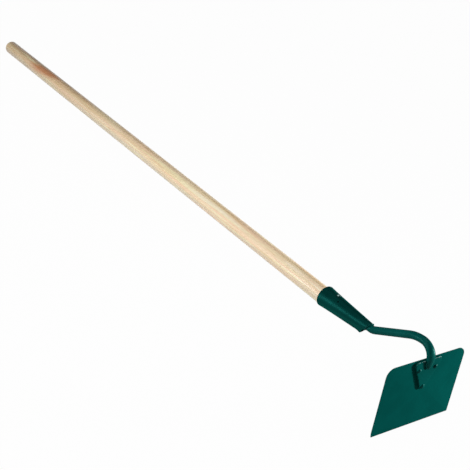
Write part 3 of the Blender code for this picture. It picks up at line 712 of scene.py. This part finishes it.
PLATE_HEIGHT = PLATE_WIDTH = 0.053
PLATE_CORNER = 0.0055
PLATE_EDGE_ROUND = 0.0008
PLATE_FOOT = PLATE_TOP - PLATE_HEIGHT
plate_side = PLATE_WIDTH / 2 - PLATE_CORNER
plate_taper = math.atan2(plate_side, PLATE_HEIGHT - 2 * PLATE_CORNER)
plate_corners = [(plate_side, PLATE_TOP - PLATE_CORNER, PLATE_CORNER, -plate_taper, QUARTER),
                 (-plate_side, PLATE_TOP - PLATE_CORNER, PLATE_CORNER, QUARTER, 2 * QUARTER + plate_taper),
                 (0, PLATE_FOOT + PLATE_CORNER, PLATE_CORNER, 2 * QUARTER + plate_taper,
                  4 * QUARTER - plate_taper)]
print(f"Blade {BLADE_WIDTH * 1000:.0f} x {BLADE_HEIGHT * 1000:.0f} mm, plate {PLATE_WIDTH * 1000:.0f} mm")

# %% [markdown]
# ## Three rivets
#
# Two rivets sit high up beside the neck and one at the shield's foot. Each was a short bar with a dome
# head, pushed through plate and blade and hammered flat behind, so the head at the back is a lower dome.
# A hammered head is never a perfect dome, so its enamel gets deeper dents than the sheet's.

# %% Rivets
RIVET_HEAD, RIVET_HEIGHT, RIVET_BACK_HEIGHT, RIVET_SHANK = 0.0036, 0.0017, 0.0012, 0.0025
RIVET_ASIDE, RIVET_BELOW_TOP, RIVET_ABOVE_FOOT = 0.0165, 0.0165, 0.0060
RIVET_PLACES = {"rivet_left": (-RIVET_ASIDE, BLADE_TOP - RIVET_BELOW_TOP),
                "rivet_right": (RIVET_ASIDE, BLADE_TOP - RIVET_BELOW_TOP),
                "rivet_bottom": (0.0, PLATE_FOOT + RIVET_ABOVE_FOOT)}


def rivet_profile():
    """Dome over the plate, straight shank through both sheets, and a lower dome behind the blade."""
    head_seat, back_seat = PLATE_FRONT + CLEARANCE, -BLADE_FRONT - CLEARANCE
    head = dome_profile(RIVET_HEAD, RIVET_HEIGHT) + (0, head_seat)
    back = dome_profile(RIVET_HEAD, RIVET_BACK_HEIGHT)[::-1] * (1, -1) + (0, back_seat)
    return np.concatenate((head, [(RIVET_SHANK, head_seat), (RIVET_SHANK, back_seat)], back))


rivet_finish = enamel("rivet_enamel", lustre=0.10, gloss=(0.30, 0.42), dents=0.0003, shine=0.06)
for node, (across_blade, up_blade) in RIVET_PLACES.items():
    rivet = turned_piece("dome_" + node, rivet_profile(), (0, across_blade, up_blade), (1, 0, 0), (0, 1, 0))
    stand_for(rivet, node, rivet_finish)


def rivet_drills(start, end):
    """Three bars for the rivet holes, from one x to another."""
    return [drill((start, y, z), (end, y, z), RIVET_SHANK) for y, z in RIVET_PLACES.values()]


# %% [markdown]
# ## Blade and shield-shaped plate
#
# The blade is cut from two-millimetre sheet. Its cutting edge is ground on the side that faces the
# gardener, so that it stays sharp as it wears. A wedge, wide enough for the whole edge, takes that metal
# away. Cold rolled sheet is even, so its enamel drifts very little, and the edges are where it is rubbed.

# %% The blade
GROUND_WIDTH, GROUND_LAND = 0.008, 0.0007


def grinding_wedge():
    """A prism whose one side is the ground face: the line from the land at the cutting edge to the heel on
    the inner face, carried on by its own length past both. Its corners are 2 land - heel, 2 heel - land,
    and the corner square to those two."""
    land = np.array([BLADE_FRONT - GROUND_LAND, -BLADE_TOP])
    heel = np.array([-BLADE_FRONT, GROUND_WIDTH - BLADE_TOP])
    (low_x, low_z), (high_x, high_z) = 2 * land - heel, 2 * heel - land
    points = np.array([[(low_x, end, low_z), (high_x, end, high_z), (high_x, end, low_z)]
                       for end in (-BLADE_WIDTH, BLADE_WIDTH)])
    return new_piece("wedge", points, ends=True)


def depth_from_outline(corners):
    """Distance inside an outline: from each point to the nearest place on each of the rim's short sides,
    start + share * side with the share held between 0 and 1, and then the least of these."""
    start = outline_points(corners, 0.0)
    side = np.roll(start, -1, axis=0) - start
    side_squared = np.maximum((side ** 2).sum(-1), MERGE_DISTANCE ** 2)

    def depth(points):
        from_start = points[:, None, 1:] - start
        share = np.clip((from_start * side).sum(-1) / side_squared, 0, 1)
        return np.linalg.norm(from_start - share[..., None] * side, axis=-1).min(axis=1)
    return depth


blade_sheet = sheet_points(blade_corners, 0.0, BLADE_THICKNESS, BLADE_EDGE_ROUND)
blade = new_piece("hoe_blade", blade_sheet, ends=True)
cut_away(blade, [grinding_wedge(), *rivet_drills(-2 * BLADE_THICKNESS, 2 * BLADE_THICKNESS)])
mark_wear_and_highlight(blade, depth_from_outline(blade_corners), BLADE_EDGE_ROUND)
# The blade's copy is made a little lighter: painted light.
blade_finish = enamel("blade_enamel", lustre=0.02, gloss=(0.30, 0.38), shade=1.05, drift=0.3, shine=0.01)
stand_for(blade, "blade", blade_finish)

# %% The plate
EDGE_FADE = 16.0
plate_middle = BLADE_FRONT + CLEARANCE + PLATE_THICKNESS / 2
plate_sheet = sheet_points(plate_corners, plate_middle, PLATE_THICKNESS, PLATE_EDGE_ROUND)
plate = new_piece("shield_plate", plate_sheet, ends=True)
cut_away(plate, rivet_drills(0.0, 2 * PLATE_FRONT))


def depth_from_top_edge(points):
    """Distance from the middle of the front rounding, plus a sixteenth of the way down from the plate's
    top, so that only the top edge gets the pale painted highlight."""
    from_rounding = np.abs(PLATE_FRONT - PLATE_EDGE_ROUND / 2 - points[:, 0])
    return from_rounding + (PLATE_TOP - points[:, 2]) / EDGE_FADE


# On the plate only the top edge is marked, and there the enamel gets a pale painted highlight where the
# rounded edge catches the light, not worn paint.
mark_wear_and_highlight(plate, depth_from_top_edge, PLATE_EDGE_ROUND / 2)
# The plate's copy is made a little lighter, like the blade's: painted light.
plate_finish = enamel("plate_enamel", lustre=0.02, gloss=(0.30, 0.38), shade=1.05, drift=0.4, dents=0.00005,
                      shine=0.02, edge_wear_and_highlight=ENAMEL_PAINTED_HIGHLIGHT)
stand_for(plate, "rivet_plate", plate_finish)

# %% [markdown]
# ## Beads of weld
#
# The neck is welded at both ends: a bead runs round it where it leaves the socket, and another round its
# toe on the plate. A weld is laid down in small overlapping pools, so a bead is a tube whose radius
# swells and shrinks every couple of millimetres, with each swelling bent into a crescent. The side that
# lies on the steel is flat.

# %% A rippled tube along a line
BEAD_STANDOFF = 1 / 3
RIPPLE_PITCH, RIPPLE_DEPTH = 0.0019, 0.08


def bead_points(line, outward, radius, blunt, steps=20):
    """Tube round a line: line + r (cos a * outward + sin a * sideways), with r = radius * (1 + depth * cos
    of the distance in ripples, delayed towards the sides). Blunt is 1 along the line and 0 where an end
    closes."""
    ahead = np.gradient(line, axis=0)
    ahead /= np.linalg.norm(ahead, axis=1, keepdims=True)
    outward = outward - (outward * ahead).sum(1, keepdims=True) * ahead
    outward /= np.linalg.norm(outward, axis=1, keepdims=True)
    sideways = np.cross(ahead, outward)
    distance = running_sum(np.linalg.norm(np.diff(line, axis=0), axis=1))
    angle = full_turn(steps)
    ripples = round(distance[-1] / RIPPLE_PITCH)
    phase = 2 * np.pi * ripples * distance[:, None] / distance[-1] - (1 - np.cos(angle))
    swell = radius * blunt[:, None] * (1 + RIPPLE_DEPTH * np.cos(phase) * blunt[:, None])
    spoke = np.cos(angle)[:, None] * outward[:, None] + np.sin(angle)[:, None] * sideways[:, None]
    return line[:, None] + swell[..., None] * spoke


def press_flat(points, foot, normal):
    """Move points that lie behind a plane straight out onto it."""
    behind = np.minimum(0, (points - foot) @ normal)
    return points - behind[..., None] * normal


# The welds' copy is made a little darker: painted shade.
weld_finish = enamel("weld_enamel", lustre=0.12, gloss=(0.34, 0.48), shade=0.9, dents=0.0002, shine=0.06)

# %% The bead round the toe
NECK_BEAD_RADIUS = 0.0015


def toe_line(spacing=0.0003):
    """Down one side of the scarfed toe and up the other: the toe's half width where it meets the plate,
    plus the standoff, at even distances. The second result is those distances."""
    wide, thick, nose = neck_sections()
    toe_share = np.clip((neck_along - neck_marks[-2]) / LEG_RUN, 0, 1)
    keep = (toe_share > 0) & (neck_z < PLATE_TOP - 2 * NECK_BEAD_RADIUS)
    standoff, face = NECK_BEAD_RADIUS * BEAD_STANDOFF, PLATE_FRONT + CLEARANCE
    y = (wide * nose * np.sqrt(1 - ((neck_x - face) / thick) ** 2))[keep] + standoff
    z = (neck_z - standoff * toe_share)[keep]
    y, z = np.append(-y, y[::-1]), np.append(z, z[::-1])
    distance = running_sum(np.hypot(np.diff(y), np.diff(z)))
    even = np.linspace(0, distance[-1], int(distance[-1] / spacing))
    return np.stack((np.full(len(even), face + standoff), np.interp(even, distance, y),
                     np.interp(even, distance, z)), axis=1), even


toe_bead_line, toe_distance = toe_line()
to_end = np.minimum(toe_distance, toe_distance[::-1]) / NECK_BEAD_RADIUS
closing = np.sqrt(1 - np.maximum(0, 1 - to_end) ** 2)
toe_outward = np.broadcast_to((1.0, 0.0, 0.0), toe_bead_line.shape)
toe_bead = press_flat(bead_points(toe_bead_line, toe_outward, NECK_BEAD_RADIUS, closing),
                      np.array([PLATE_FRONT + CLEARANCE, 0, 0]), np.array([1.0, 0.0, 0.0]))
stand_for(new_piece("toe_bead", toe_bead), "neck_weld", weld_finish)

# %% The bead round the neck at the socket
SOCKET_BEAD_RADIUS = 0.0018
slant_normal = np.array([math.sin(SLANT), 0, -math.cos(SLANT)])
slant_foot = np.array([LIP_X, 0, LIP_TOP]) + slant_normal * CLEARANCE


def collar_line(steps=160):
    """Once round the neck, on the slant: y = R cos a, z = neck + R sin a, and x where the slant is."""
    angle = np.linspace(0, 2 * np.pi, steps + 1)
    reach = NECK_RADIUS + SOCKET_BEAD_RADIUS * BEAD_STANDOFF
    z = AXIS_Z + GRIP_RISE + reach * np.sin(angle)
    x = slant_foot[0] - (slant_foot[2] - z) / math.tan(SLANT) + SOCKET_BEAD_RADIUS * BEAD_STANDOFF
    return np.stack((x, reach * np.cos(angle), z), axis=1)


collar = collar_line()
collar_outward = np.broadcast_to(slant_normal, collar.shape)
collar_bead = bead_points(collar, collar_outward, SOCKET_BEAD_RADIUS, np.ones(len(collar)))
collar_bead[-1] = collar_bead[0]
collar_bead = press_flat(collar_bead, slant_foot, slant_normal)
stand_for(new_piece("collar_bead", collar_bead), "socket_weld", weld_finish)

# %% [markdown]
# ## The turned handle
#
# The handle is a straight rod, tapered where it is driven into the socket and domed at the far end. Its
# taper follows the largest round rod that fits in the socket. The rod is made a few hundredths of a
# millimetre thinner than the solid, because a rounder mesh would stand out of it between its corners.

# %% The handle
HANDLE_LENGTH, HANDLE_DOME, SEAT_DEPTH, TIP_CHAMFER = 1.300, 0.011, 0.070, 0.0015
HANDLE_DIAMETER = 0.030
ROUNDER = 0.00005
HANDLE_RADIUS = HANDLE_DIAMETER / 2 - ROUNDER
HANDLE_STEPS = 96


def rod_radius(x):
    """Largest round rod on the handle's axis that clears the inside of the sheet at x: the least of the
    distances to the flanks, the foot and the top."""
    top, top_radius = circle_at(x, 1.0)
    foot, foot_radius = circle_at(x, 0.0)
    room = min(top_radius - top * math.sin(FLANK), foot_radius - foot, top_radius + top)
    return float(room) - SOCKET_WALL - CLEARANCE


def handle_profile(shaft_steps=240, dome_steps=24):
    """Radius against x from the chamfered tip in the socket, up the taper, along the shaft, and round the
    dome, which is a quarter of an ellipse."""
    tip = MOUTH_X + SEAT_DEPTH
    tip_radius = rod_radius(tip)
    slope = (rod_radius(MOUTH_X) - tip_radius) / SEAT_DEPTH
    taper_start = MOUTH_X + (rod_radius(MOUTH_X) - HANDLE_RADIUS) / slope
    far = tip - HANDLE_LENGTH + ROUNDER
    seat = [(0, tip), (tip_radius - TIP_CHAMFER, tip), (tip_radius, tip - TIP_CHAMFER)]
    shaft_x = np.linspace(taper_start, far + HANDLE_DOME, shaft_steps)
    turn = np.linspace(0, np.pi / 2, dome_steps)[1:]
    dome = np.stack((HANDLE_RADIUS * np.cos(turn), far + HANDLE_DOME * (1 - np.sin(turn))), axis=1)
    return np.concatenate((seat, np.stack((np.full(shaft_steps, HANDLE_RADIUS), shaft_x), axis=1), dome))


handle = turned_piece("turned_handle", handle_profile(), (0, 0, AXIS_Z), (1, 0, 0), (0, 1, 0), HANDLE_STEPS)
cut_away(handle, [nail_drill(NAIL_SEAT - NAIL_LENGTH - CLEARANCE)])
HANDLE_END = MOUTH_X + SEAT_DEPTH - HANDLE_LENGTH
print(f"Handle: far end at x = {HANDLE_END * 1000:.0f} mm")

# %% [markdown]
# ## Pale turned wood
#
# The rod was sawn along a log, so its yearly rings run nearly straight along it and come out as long
# pointed stripes, with full rings on the domed end. A ring is a cylinder round the log's middle, so one
# distance, wandering slowly along the log, gives all of them. Fine fibres and short open pores are noise,
# stretched some thirty times along the grain.

# %% Rings, fibres and pores
LOG_ASIDE, LOG_BELOW = 0.022, 0.041
TO_LOG_MIDDLE = (0.0, -LOG_ASIDE, LOG_BELOW - AXIS_Z)
ALONG_LOG = (0.012, 1.0, 1.0)  # distance along the log counts little, so the rings taper slowly
WANDER, WANDER_REACH = (2.6, 16.0, 16.0), 0.022
RING_WIDTH, LATE_WOOD, RING_END = 0.0042, (0.15, 0.86), (1.0, 0.9)
GRAIN_FINE, FINE_DETAIL = (22.0, 700.0, 700.0), 4.0
GRAIN_BROAD = (4.0, 110.0, 110.0)
GRAIN_STREAKS, STREAK_SHIFT = (8.0, 330.0, 330.0), (0.0, 0.3, 0.0)
PORES, PORE_RANGE = (90.0, 2200.0, 2200.0), (0.36, 0.27)
COARSE_DETAIL = 2.0

wood, tree, shader, place = new_finish("turned_wood")
wander = arithmetic(tree, "MULTIPLY", grain(tree, place, WANDER, COARSE_DETAIL), WANDER_REACH)
from_log = vector_step(tree, "LENGTH", scaled_place(tree, place, ALONG_LOG, TO_LOG_MIDDLE), result="Value")
ring_count = arithmetic(tree, "DIVIDE", arithmetic(tree, "ADD", from_log, wander), RING_WIDTH)
ring = arithmetic(tree, "FRACT", ring_count)
late_wood = arithmetic(tree, "MULTIPLY", stretch(tree, ring, *LATE_WOOD), stretch(tree, ring, *RING_END))
fibre = grain(tree, place, GRAIN_FINE, FINE_DETAIL)
cloud = grain(tree, place, GRAIN_BROAD)
streak = grain(tree, place, GRAIN_STREAKS, shift=STREAK_SHIFT)
pore = stretch(tree, grain(tree, place, PORES, COARSE_DETAIL), *PORE_RANGE)
print(f"Rings {RING_WIDTH * 1000:.1f} mm wide round a middle {LOG_BELOW * 1000:.0f} mm below the rod's")

# %% [markdown]
# The colour is built like a painter's glazes, one thin coat over another, from the largest change to the
# smallest. First comes the drift along the rod, which turns a warmer tan towards its far end. Then the
# two sides, and these are painted shade: the upper one, away from the camera, is made warmer and darker,
# dark as umber towards the far end, and the lower one is made as grey as ash. Rings follow, rosy and
# straw-coloured streaks, and a patch of reddish heartwood, whose mask is a long ellipsoid, a little askew
# and broken up by the clouds. The fibres and pores come last.

# %% Where each colour lies
HEART_FROM_END, HEART_ASIDE, HEART_ABOVE = 0.203, -0.0085, 0.0125
HEART_MIDDLE = (HANDLE_END + HEART_FROM_END, HEART_ASIDE, AXIS_Z + HEART_ABOVE)
HEART_TURN = (0.0, math.radians(-1.8), math.radians(7.5))
HEART_SIZE = (0.084, 0.0130, 0.0130)
# Direction across the handle to its upper side as the camera sees it; the painted shade on both sides is
# laid along it.
SHADED_UPPER_SIDE = (0.0, 0.626, 0.780)
SIDE_RAGGED = 0.02
FAR_END_LENGTH = 0.75
CLOUD_RANGE = (0.34, 0.66)

axis_x = add_node(tree, "ShaderNodeSeparateXYZ", {"Vector": place}).outputs["X"]
toward_end = stretch(tree, axis_x, HANDLE_END + FAR_END_LENGTH, HANDLE_END)
from_axis = vector_step(tree, "ADD", place, (0.0, 0.0, -AXIS_Z))
to_side = vector_step(tree, "DOT_PRODUCT", from_axis, SHADED_UPPER_SIDE, "Value")
side = ragged(tree, to_side, cloud, SIDE_RAGGED)
heart_space = {"Vector": place, "Location": HEART_MIDDLE, "Rotation": HEART_TURN, "Scale": HEART_SIZE}
in_heart = add_node(tree, "ShaderNodeMapping", heart_space, vector_type="TEXTURE").outputs["Vector"]
heart = ragged(tree, vector_step(tree, "LENGTH", in_heart, result="Value"), cloud, 1.0)
print(f"Heartwood {HEART_FROM_END * 1000:.0f} mm from the far end")

# %% Coats of colour
# The umber and ash colours are painted shade, for the handle's upper and lower sides.
WOOD_PALE, WOOD_TAN = (0.920, 0.830, 0.650), (0.820, 0.640, 0.410)
WOOD_WARM, UMBER_SHADE = (0.760, 0.520, 0.265), (0.360, 0.230, 0.140)
WOOD_ROSY, WOOD_STRAW = (0.880, 0.630, 0.430), (0.890, 0.800, 0.510)
WOOD_HEART, ASH_SHADE = (0.580, 0.200, 0.070), (0.520, 0.490, 0.390)
UPPER_SHADE_EDGE, UMBER_SHADE_EDGE, LOWER_SHADE_EDGE = (-0.002, 0.014), (0.000, 0.014), (-0.004, -0.014)
ROSY_STREAK, STRAW_STREAK = (0.52, 0.62), (0.48, 0.38)
HEART_RANGE, FIBRE_RANGE = (1.20, 0.35), (0.50, 0.72)

COATS = [  # where the coat lies, its greatest strength, its colour
    (toward_end, 0.85, WOOD_WARM),
    # The next three coats are painted shade: the upper side warmer and darker, umber towards the far end,
    # and the lower side grey.
    (stretch(tree, side, *UPPER_SHADE_EDGE), 0.65, WOOD_WARM),
    (arithmetic(tree, "MULTIPLY", toward_end, stretch(tree, side, *UMBER_SHADE_EDGE)), 0.80, UMBER_SHADE),
    (stretch(tree, side, *LOWER_SHADE_EDGE), 0.55, ASH_SHADE),
    (late_wood, 0.42, WOOD_WARM),
    (stretch(tree, streak, *ROSY_STREAK), 0.80, WOOD_ROSY),
    (stretch(tree, streak, *STRAW_STREAK), 0.85, WOOD_STRAW),
    (stretch(tree, heart, *HEART_RANGE), 0.80, WOOD_HEART),
    (stretch(tree, fibre, *FIBRE_RANGE), 0.38, WOOD_WARM),
    (pore, 0.55, WOOD_HEART)]

tone = blend_colours(tree, stretch(tree, cloud, *CLOUD_RANGE), WOOD_PALE, WOOD_TAN)
for share, most, colour in COATS:
    tone = blend_colours(tree, arithmetic(tree, "MULTIPLY", share, most), tone, colour)
print(f"{len(COATS)} coats of colour on the wood")

# %% Sheen and touch of the wood
WOOD_ROUGHNESS, WOOD_GLOSS = (0.42, 0.58), 0.35
LACQUER, LACQUER_ROUGHNESS = 0.60, 0.26
PORE_SINK, FIBRE_DEPTH = 1.5, 0.00006

hollows = arithmetic(tree, "SUBTRACT", fibre, arithmetic(tree, "MULTIPLY", pore, PORE_SINK))
fill_inputs(tree, shader, {
    "Base Color": tone, "Roughness": stretch(tree, fibre, *NOISE_SPREAD, *WOOD_ROUGHNESS),
    "Normal": bumps(tree, hollows, FIBRE_DEPTH), "Specular IOR Level": WOOD_GLOSS,
    "Coat Weight": LACQUER, "Coat Roughness": LACQUER_ROUGHNESS})
stand_for(handle, "handle", wood)

# %% [markdown]
# ## The nail
#
# One dome-head nail holds the handle. It was painted with the rest, in a green as dark as the socket's
# shaded copy of the enamel, which is painted shade. A pale patch on its head, a little to the side that
# faces the camera, is a painted glint, so that it shows as the one bright point on the socket. Fine
# scratches break up its shine.

# %% The nail
nail_profile = np.concatenate((dome_profile(NAIL_HEAD, NAIL_HEIGHT) + (0, NAIL_SEAT), [
    (NAIL_SHANK, NAIL_SEAT),
    (NAIL_SHANK, NAIL_SEAT - NAIL_LENGTH + NAIL_POINT),
    (0, NAIL_SEAT - NAIL_LENGTH)]))
nail = turned_piece("handle_nail_head", nail_profile, (NAIL_X, 0, 0), (0, 0, 1), (1, 0, 0))

# %% Its steel
# The pale colour is a painted glint, put on the side of the head where the highlight falls; the dull one is
# the paint, as dark as the socket's shaded copy.
NAIL_GLINT_COLOUR, NAIL_DULL = (0.50, 0.75, 0.72), (0.002, 0.040, 0.036)
GLINT_ASIDE = 0.0012
NAIL_GLINT = (NAIL_X, -GLINT_ASIDE, NAIL_SEAT + NAIL_HEIGHT)
GLINT_EDGE = (0.0010, 0.0018)
GLINT_RAGGED, RAGGED_SCALE = 0.0012, 420.0
SCUFF_ALONG, SCUFF_SCALE, SCUFF_DETAIL, SCUFF_DEPTH = (1.0, 4.0, 1.0), 700.0, 4.0, 0.00004
NAIL_ROUGHNESS, NAIL_METAL = (0.22, 0.40), 0.6

steel, tree, shader, place = new_finish("nail_steel")
scuff = noise(tree, scaled_place(tree, place, SCUFF_ALONG), SCUFF_SCALE, SCUFF_DETAIL)
from_glint = vector_step(tree, "DISTANCE", place, NAIL_GLINT, "Value")
away_from_glint = stretch(tree, ragged(tree, from_glint, noise(tree, place, RAGGED_SCALE), GLINT_RAGGED), *GLINT_EDGE)
fill_inputs(tree, shader, {
    "Base Color": blend_colours(tree, away_from_glint, NAIL_GLINT_COLOUR, NAIL_DULL),
    "Roughness": stretch(tree, scuff, *NOISE_SPREAD, *NAIL_ROUGHNESS),
    "Normal": bumps(tree, scuff, SCUFF_DEPTH), "Metallic": NAIL_METAL})
stand_for(nail, "handle_nail", steel)

# %% [markdown]
# ## The camera
#
# The photograph was taken from in front of the blade, from its right and from above, looking back along
# the handle, with the camera rolled by ten degrees so that the long handle fills the frame from corner to
# corner. The place, the roll and the focal length were found by matching the ends of the handle and the
# corners of the blade. They are given as three angles, a distance, and a point on the line of sight, all
# in the hoe's frame.

# %% Camera
VIEW_AZIMUTH, VIEW_ELEVATION, VIEW_ROLL = np.radians((-39.58188855, 27.09789556, 10.03709520))
VIEW_POINT = np.array([-0.25930647, -0.18485961, 0.16037846])
VIEW_DISTANCE = 1.51275559
SENSOR_WIDTH = 36.0
FOCAL_SHARE = 2.17541809


def view_axes(azimuth, elevation, roll):
    """Right, up and backward axes: backward points from the view point to the camera, right is level, up
    is square to both, and right and up are then rolled by r: right cos r + up sin r, and up cos r - right
    sin r."""
    back = np.array([math.cos(elevation) * math.cos(azimuth), math.cos(elevation) * math.sin(azimuth),
                     math.sin(elevation)])
    right = np.array([-math.sin(azimuth), math.cos(azimuth), 0.0])
    up = np.cross(back, right)
    cos_roll, sin_roll = math.cos(roll), math.sin(roll)
    return right * cos_roll + up * sin_roll, up * cos_roll - right * sin_roll, back


axes = np.array(view_axes(VIEW_AZIMUTH, VIEW_ELEVATION, VIEW_ROLL))
camera_data = bpy.data.cameras.new("camera")
camera = put_in_scene("camera", camera_data)
camera_data.sensor_width = SENSOR_WIDTH
camera_data.lens = SENSOR_WIDTH * FOCAL_SHARE
placement = np.eye(4)
placement[:3, :3] = LEAN_TURN @ axes.T
placement[:3, 3] = to_scene(VIEW_POINT + VIEW_DISTANCE * axes[2])
camera.matrix_world = Matrix(placement.tolist())
bpy.context.scene.camera = camera
print(f"Camera at {placement[:3, 3].round(3)}, lens {camera_data.lens:.1f} mm")

# %% [markdown]
# ## Floor and backdrop
#
# The hoe was photographed on white, with hardly a shadow. A white floor under lamps is never quite even,
# so the camera, and the gloss of paint and steel, are shown a floor that mostly glows at exactly one,
# which is white. What lies under the glow is a matt grey floor. It keeps a faint shadow, and it throws
# little light up at the hoe, whose undersides are dark in the photograph. The sky is made in the same
# way: to the camera and in the gloss it is a white wall all round that ends in a dark ceiling, and it
# gives no light itself.

# %% Floor
FLOOR_SIZE = 20.0
FLOOR_GREY = (0.50, 0.50, 0.50, 1.0)
FLOOR_GLOW = 0.98


def seen_directly(tree):
    """1 for rays from the camera, from a glossy surface or through glass, and 0 for all others."""
    rays = add_node(tree, "ShaderNodeLightPath", {}).outputs
    bright = arithmetic(tree, "MAXIMUM", rays["Is Camera Ray"], rays["Is Glossy Ray"])
    return arithmetic(tree, "MAXIMUM", bright, rays["Is Transmission Ray"])


near, far = -FLOOR_SIZE / 2, FLOOR_SIZE / 2
floor_corners = [(near, near, 0.0), (far, near, 0.0), (far, far, 0.0), (near, far, 0.0)]
floor_mesh = bpy.data.meshes.new("floor")
floor_mesh.from_pydata(floor_corners, [], [(0, 1, 2, 3)])
floor = put_in_scene("floor", floor_mesh)

floor_finish = bpy.data.materials.new("white_floor")
floor_finish.use_nodes = True
tree = floor_finish.node_tree
tree.nodes.clear()
glow_share = arithmetic(tree, "MULTIPLY", seen_directly(tree), FLOOR_GLOW)
matt = add_node(tree, "ShaderNodeBsdfDiffuse", {"Color": FLOOR_GREY})
glow = add_node(tree, "ShaderNodeEmission", {"Strength": 1.0})
both = add_node(tree, "ShaderNodeMixShader", {0: glow_share, 1: matt.outputs[0], 2: glow.outputs[0]})
add_node(tree, "ShaderNodeOutputMaterial", {"Surface": both.outputs[0]})
floor_mesh.materials.append(floor_finish)
print(f"Floor {FLOOR_SIZE:.0f} m wide, {FLOOR_GLOW:.0%} glow to the camera")

# %% Sky
WALL_END, CEILING_START, CEILING = 0.10, 0.42, 0.10

world = bpy.data.worlds.new("studio")
bpy.context.scene.world = world
world.use_nodes = True
tree = world.node_tree
outward = add_node(tree, "ShaderNodeTexCoord", {}).outputs["Generated"]
up_share = add_node(tree, "ShaderNodeSeparateXYZ", {"Vector": outward}).outputs["Z"]
room = stretch(tree, up_share, WALL_END, CEILING_START, 1.0, CEILING)
strength = arithmetic(tree, "MULTIPLY", room, seen_directly(tree))
fill_inputs(tree, tree.nodes["Background"], {"Color": (1.0, 1.0, 1.0, 1.0), "Strength": strength})
bpy.context.scene.view_settings.view_transform = "Standard"

# %% [markdown]
# ## Lamps
#
# The light in the photograph can be read from the paint. The handle is brightest a little below its
# middle, and the socket has one bright band and a dark top, so two lamps shine low from the left, and a
# third, large one stands to the left at about the camera's height. The neck's bend has one pale spot on
# the right, where it mirrors another lamp, and that lamp grazes the blade and throws the plate's narrow
# shadow to the left. It has a grid, which narrows its beam to the hoe's head, because on the pale wood it
# would burn out the far side. A broad lamp overhead fills in. Each is given as its place, its width,
# where it looks, its power in watts and the angle of its beam. The powers come from a trial: the scene
# was rendered with one lamp at a time, the sum that fits the photograph best was taken, and the last few
# watts were then set one by one.

# %% Lamps
HEAD, SHAFT = (0.70, 0.0, 0.08), (0.30, 0.0, 0.07)
OPEN, GRIDDED = math.radians(180), math.radians(40)
LAMPS = {
    "low_left": ((-0.6, -1.5, 0.2), 0.6, SHAFT, 4.0, OPEN),
    "low_side": ((0.0, -1.3, 0.12), 0.5, SHAFT, 8.0, OPEN),
    "left_front": ((0.6, -1.35, 1.15), 1.0, SHAFT, 12.5, OPEN),
    "overhead": ((0.3, 0.0, 1.8), 1.2, SHAFT, 12.0, OPEN),
    "right": ((1.76, 2.27, 0.38), 0.4, HEAD, 5.8, GRIDDED)}

for name, (spot, width, target, power, spread) in LAMPS.items():
    light = bpy.data.lights.new(name, "AREA")
    light.size, light.energy, light.spread = width, power, spread
    lamp = put_in_scene(name, light)
    lamp.location = spot
    lamp.rotation_euler = (Vector(target) - Vector(spot)).to_track_quat("-Z", "Y").to_euler()
print(f"{len(LAMPS)} lamps, {sum(lamp[3] for lamp in LAMPS.values()):.0f} W in all")
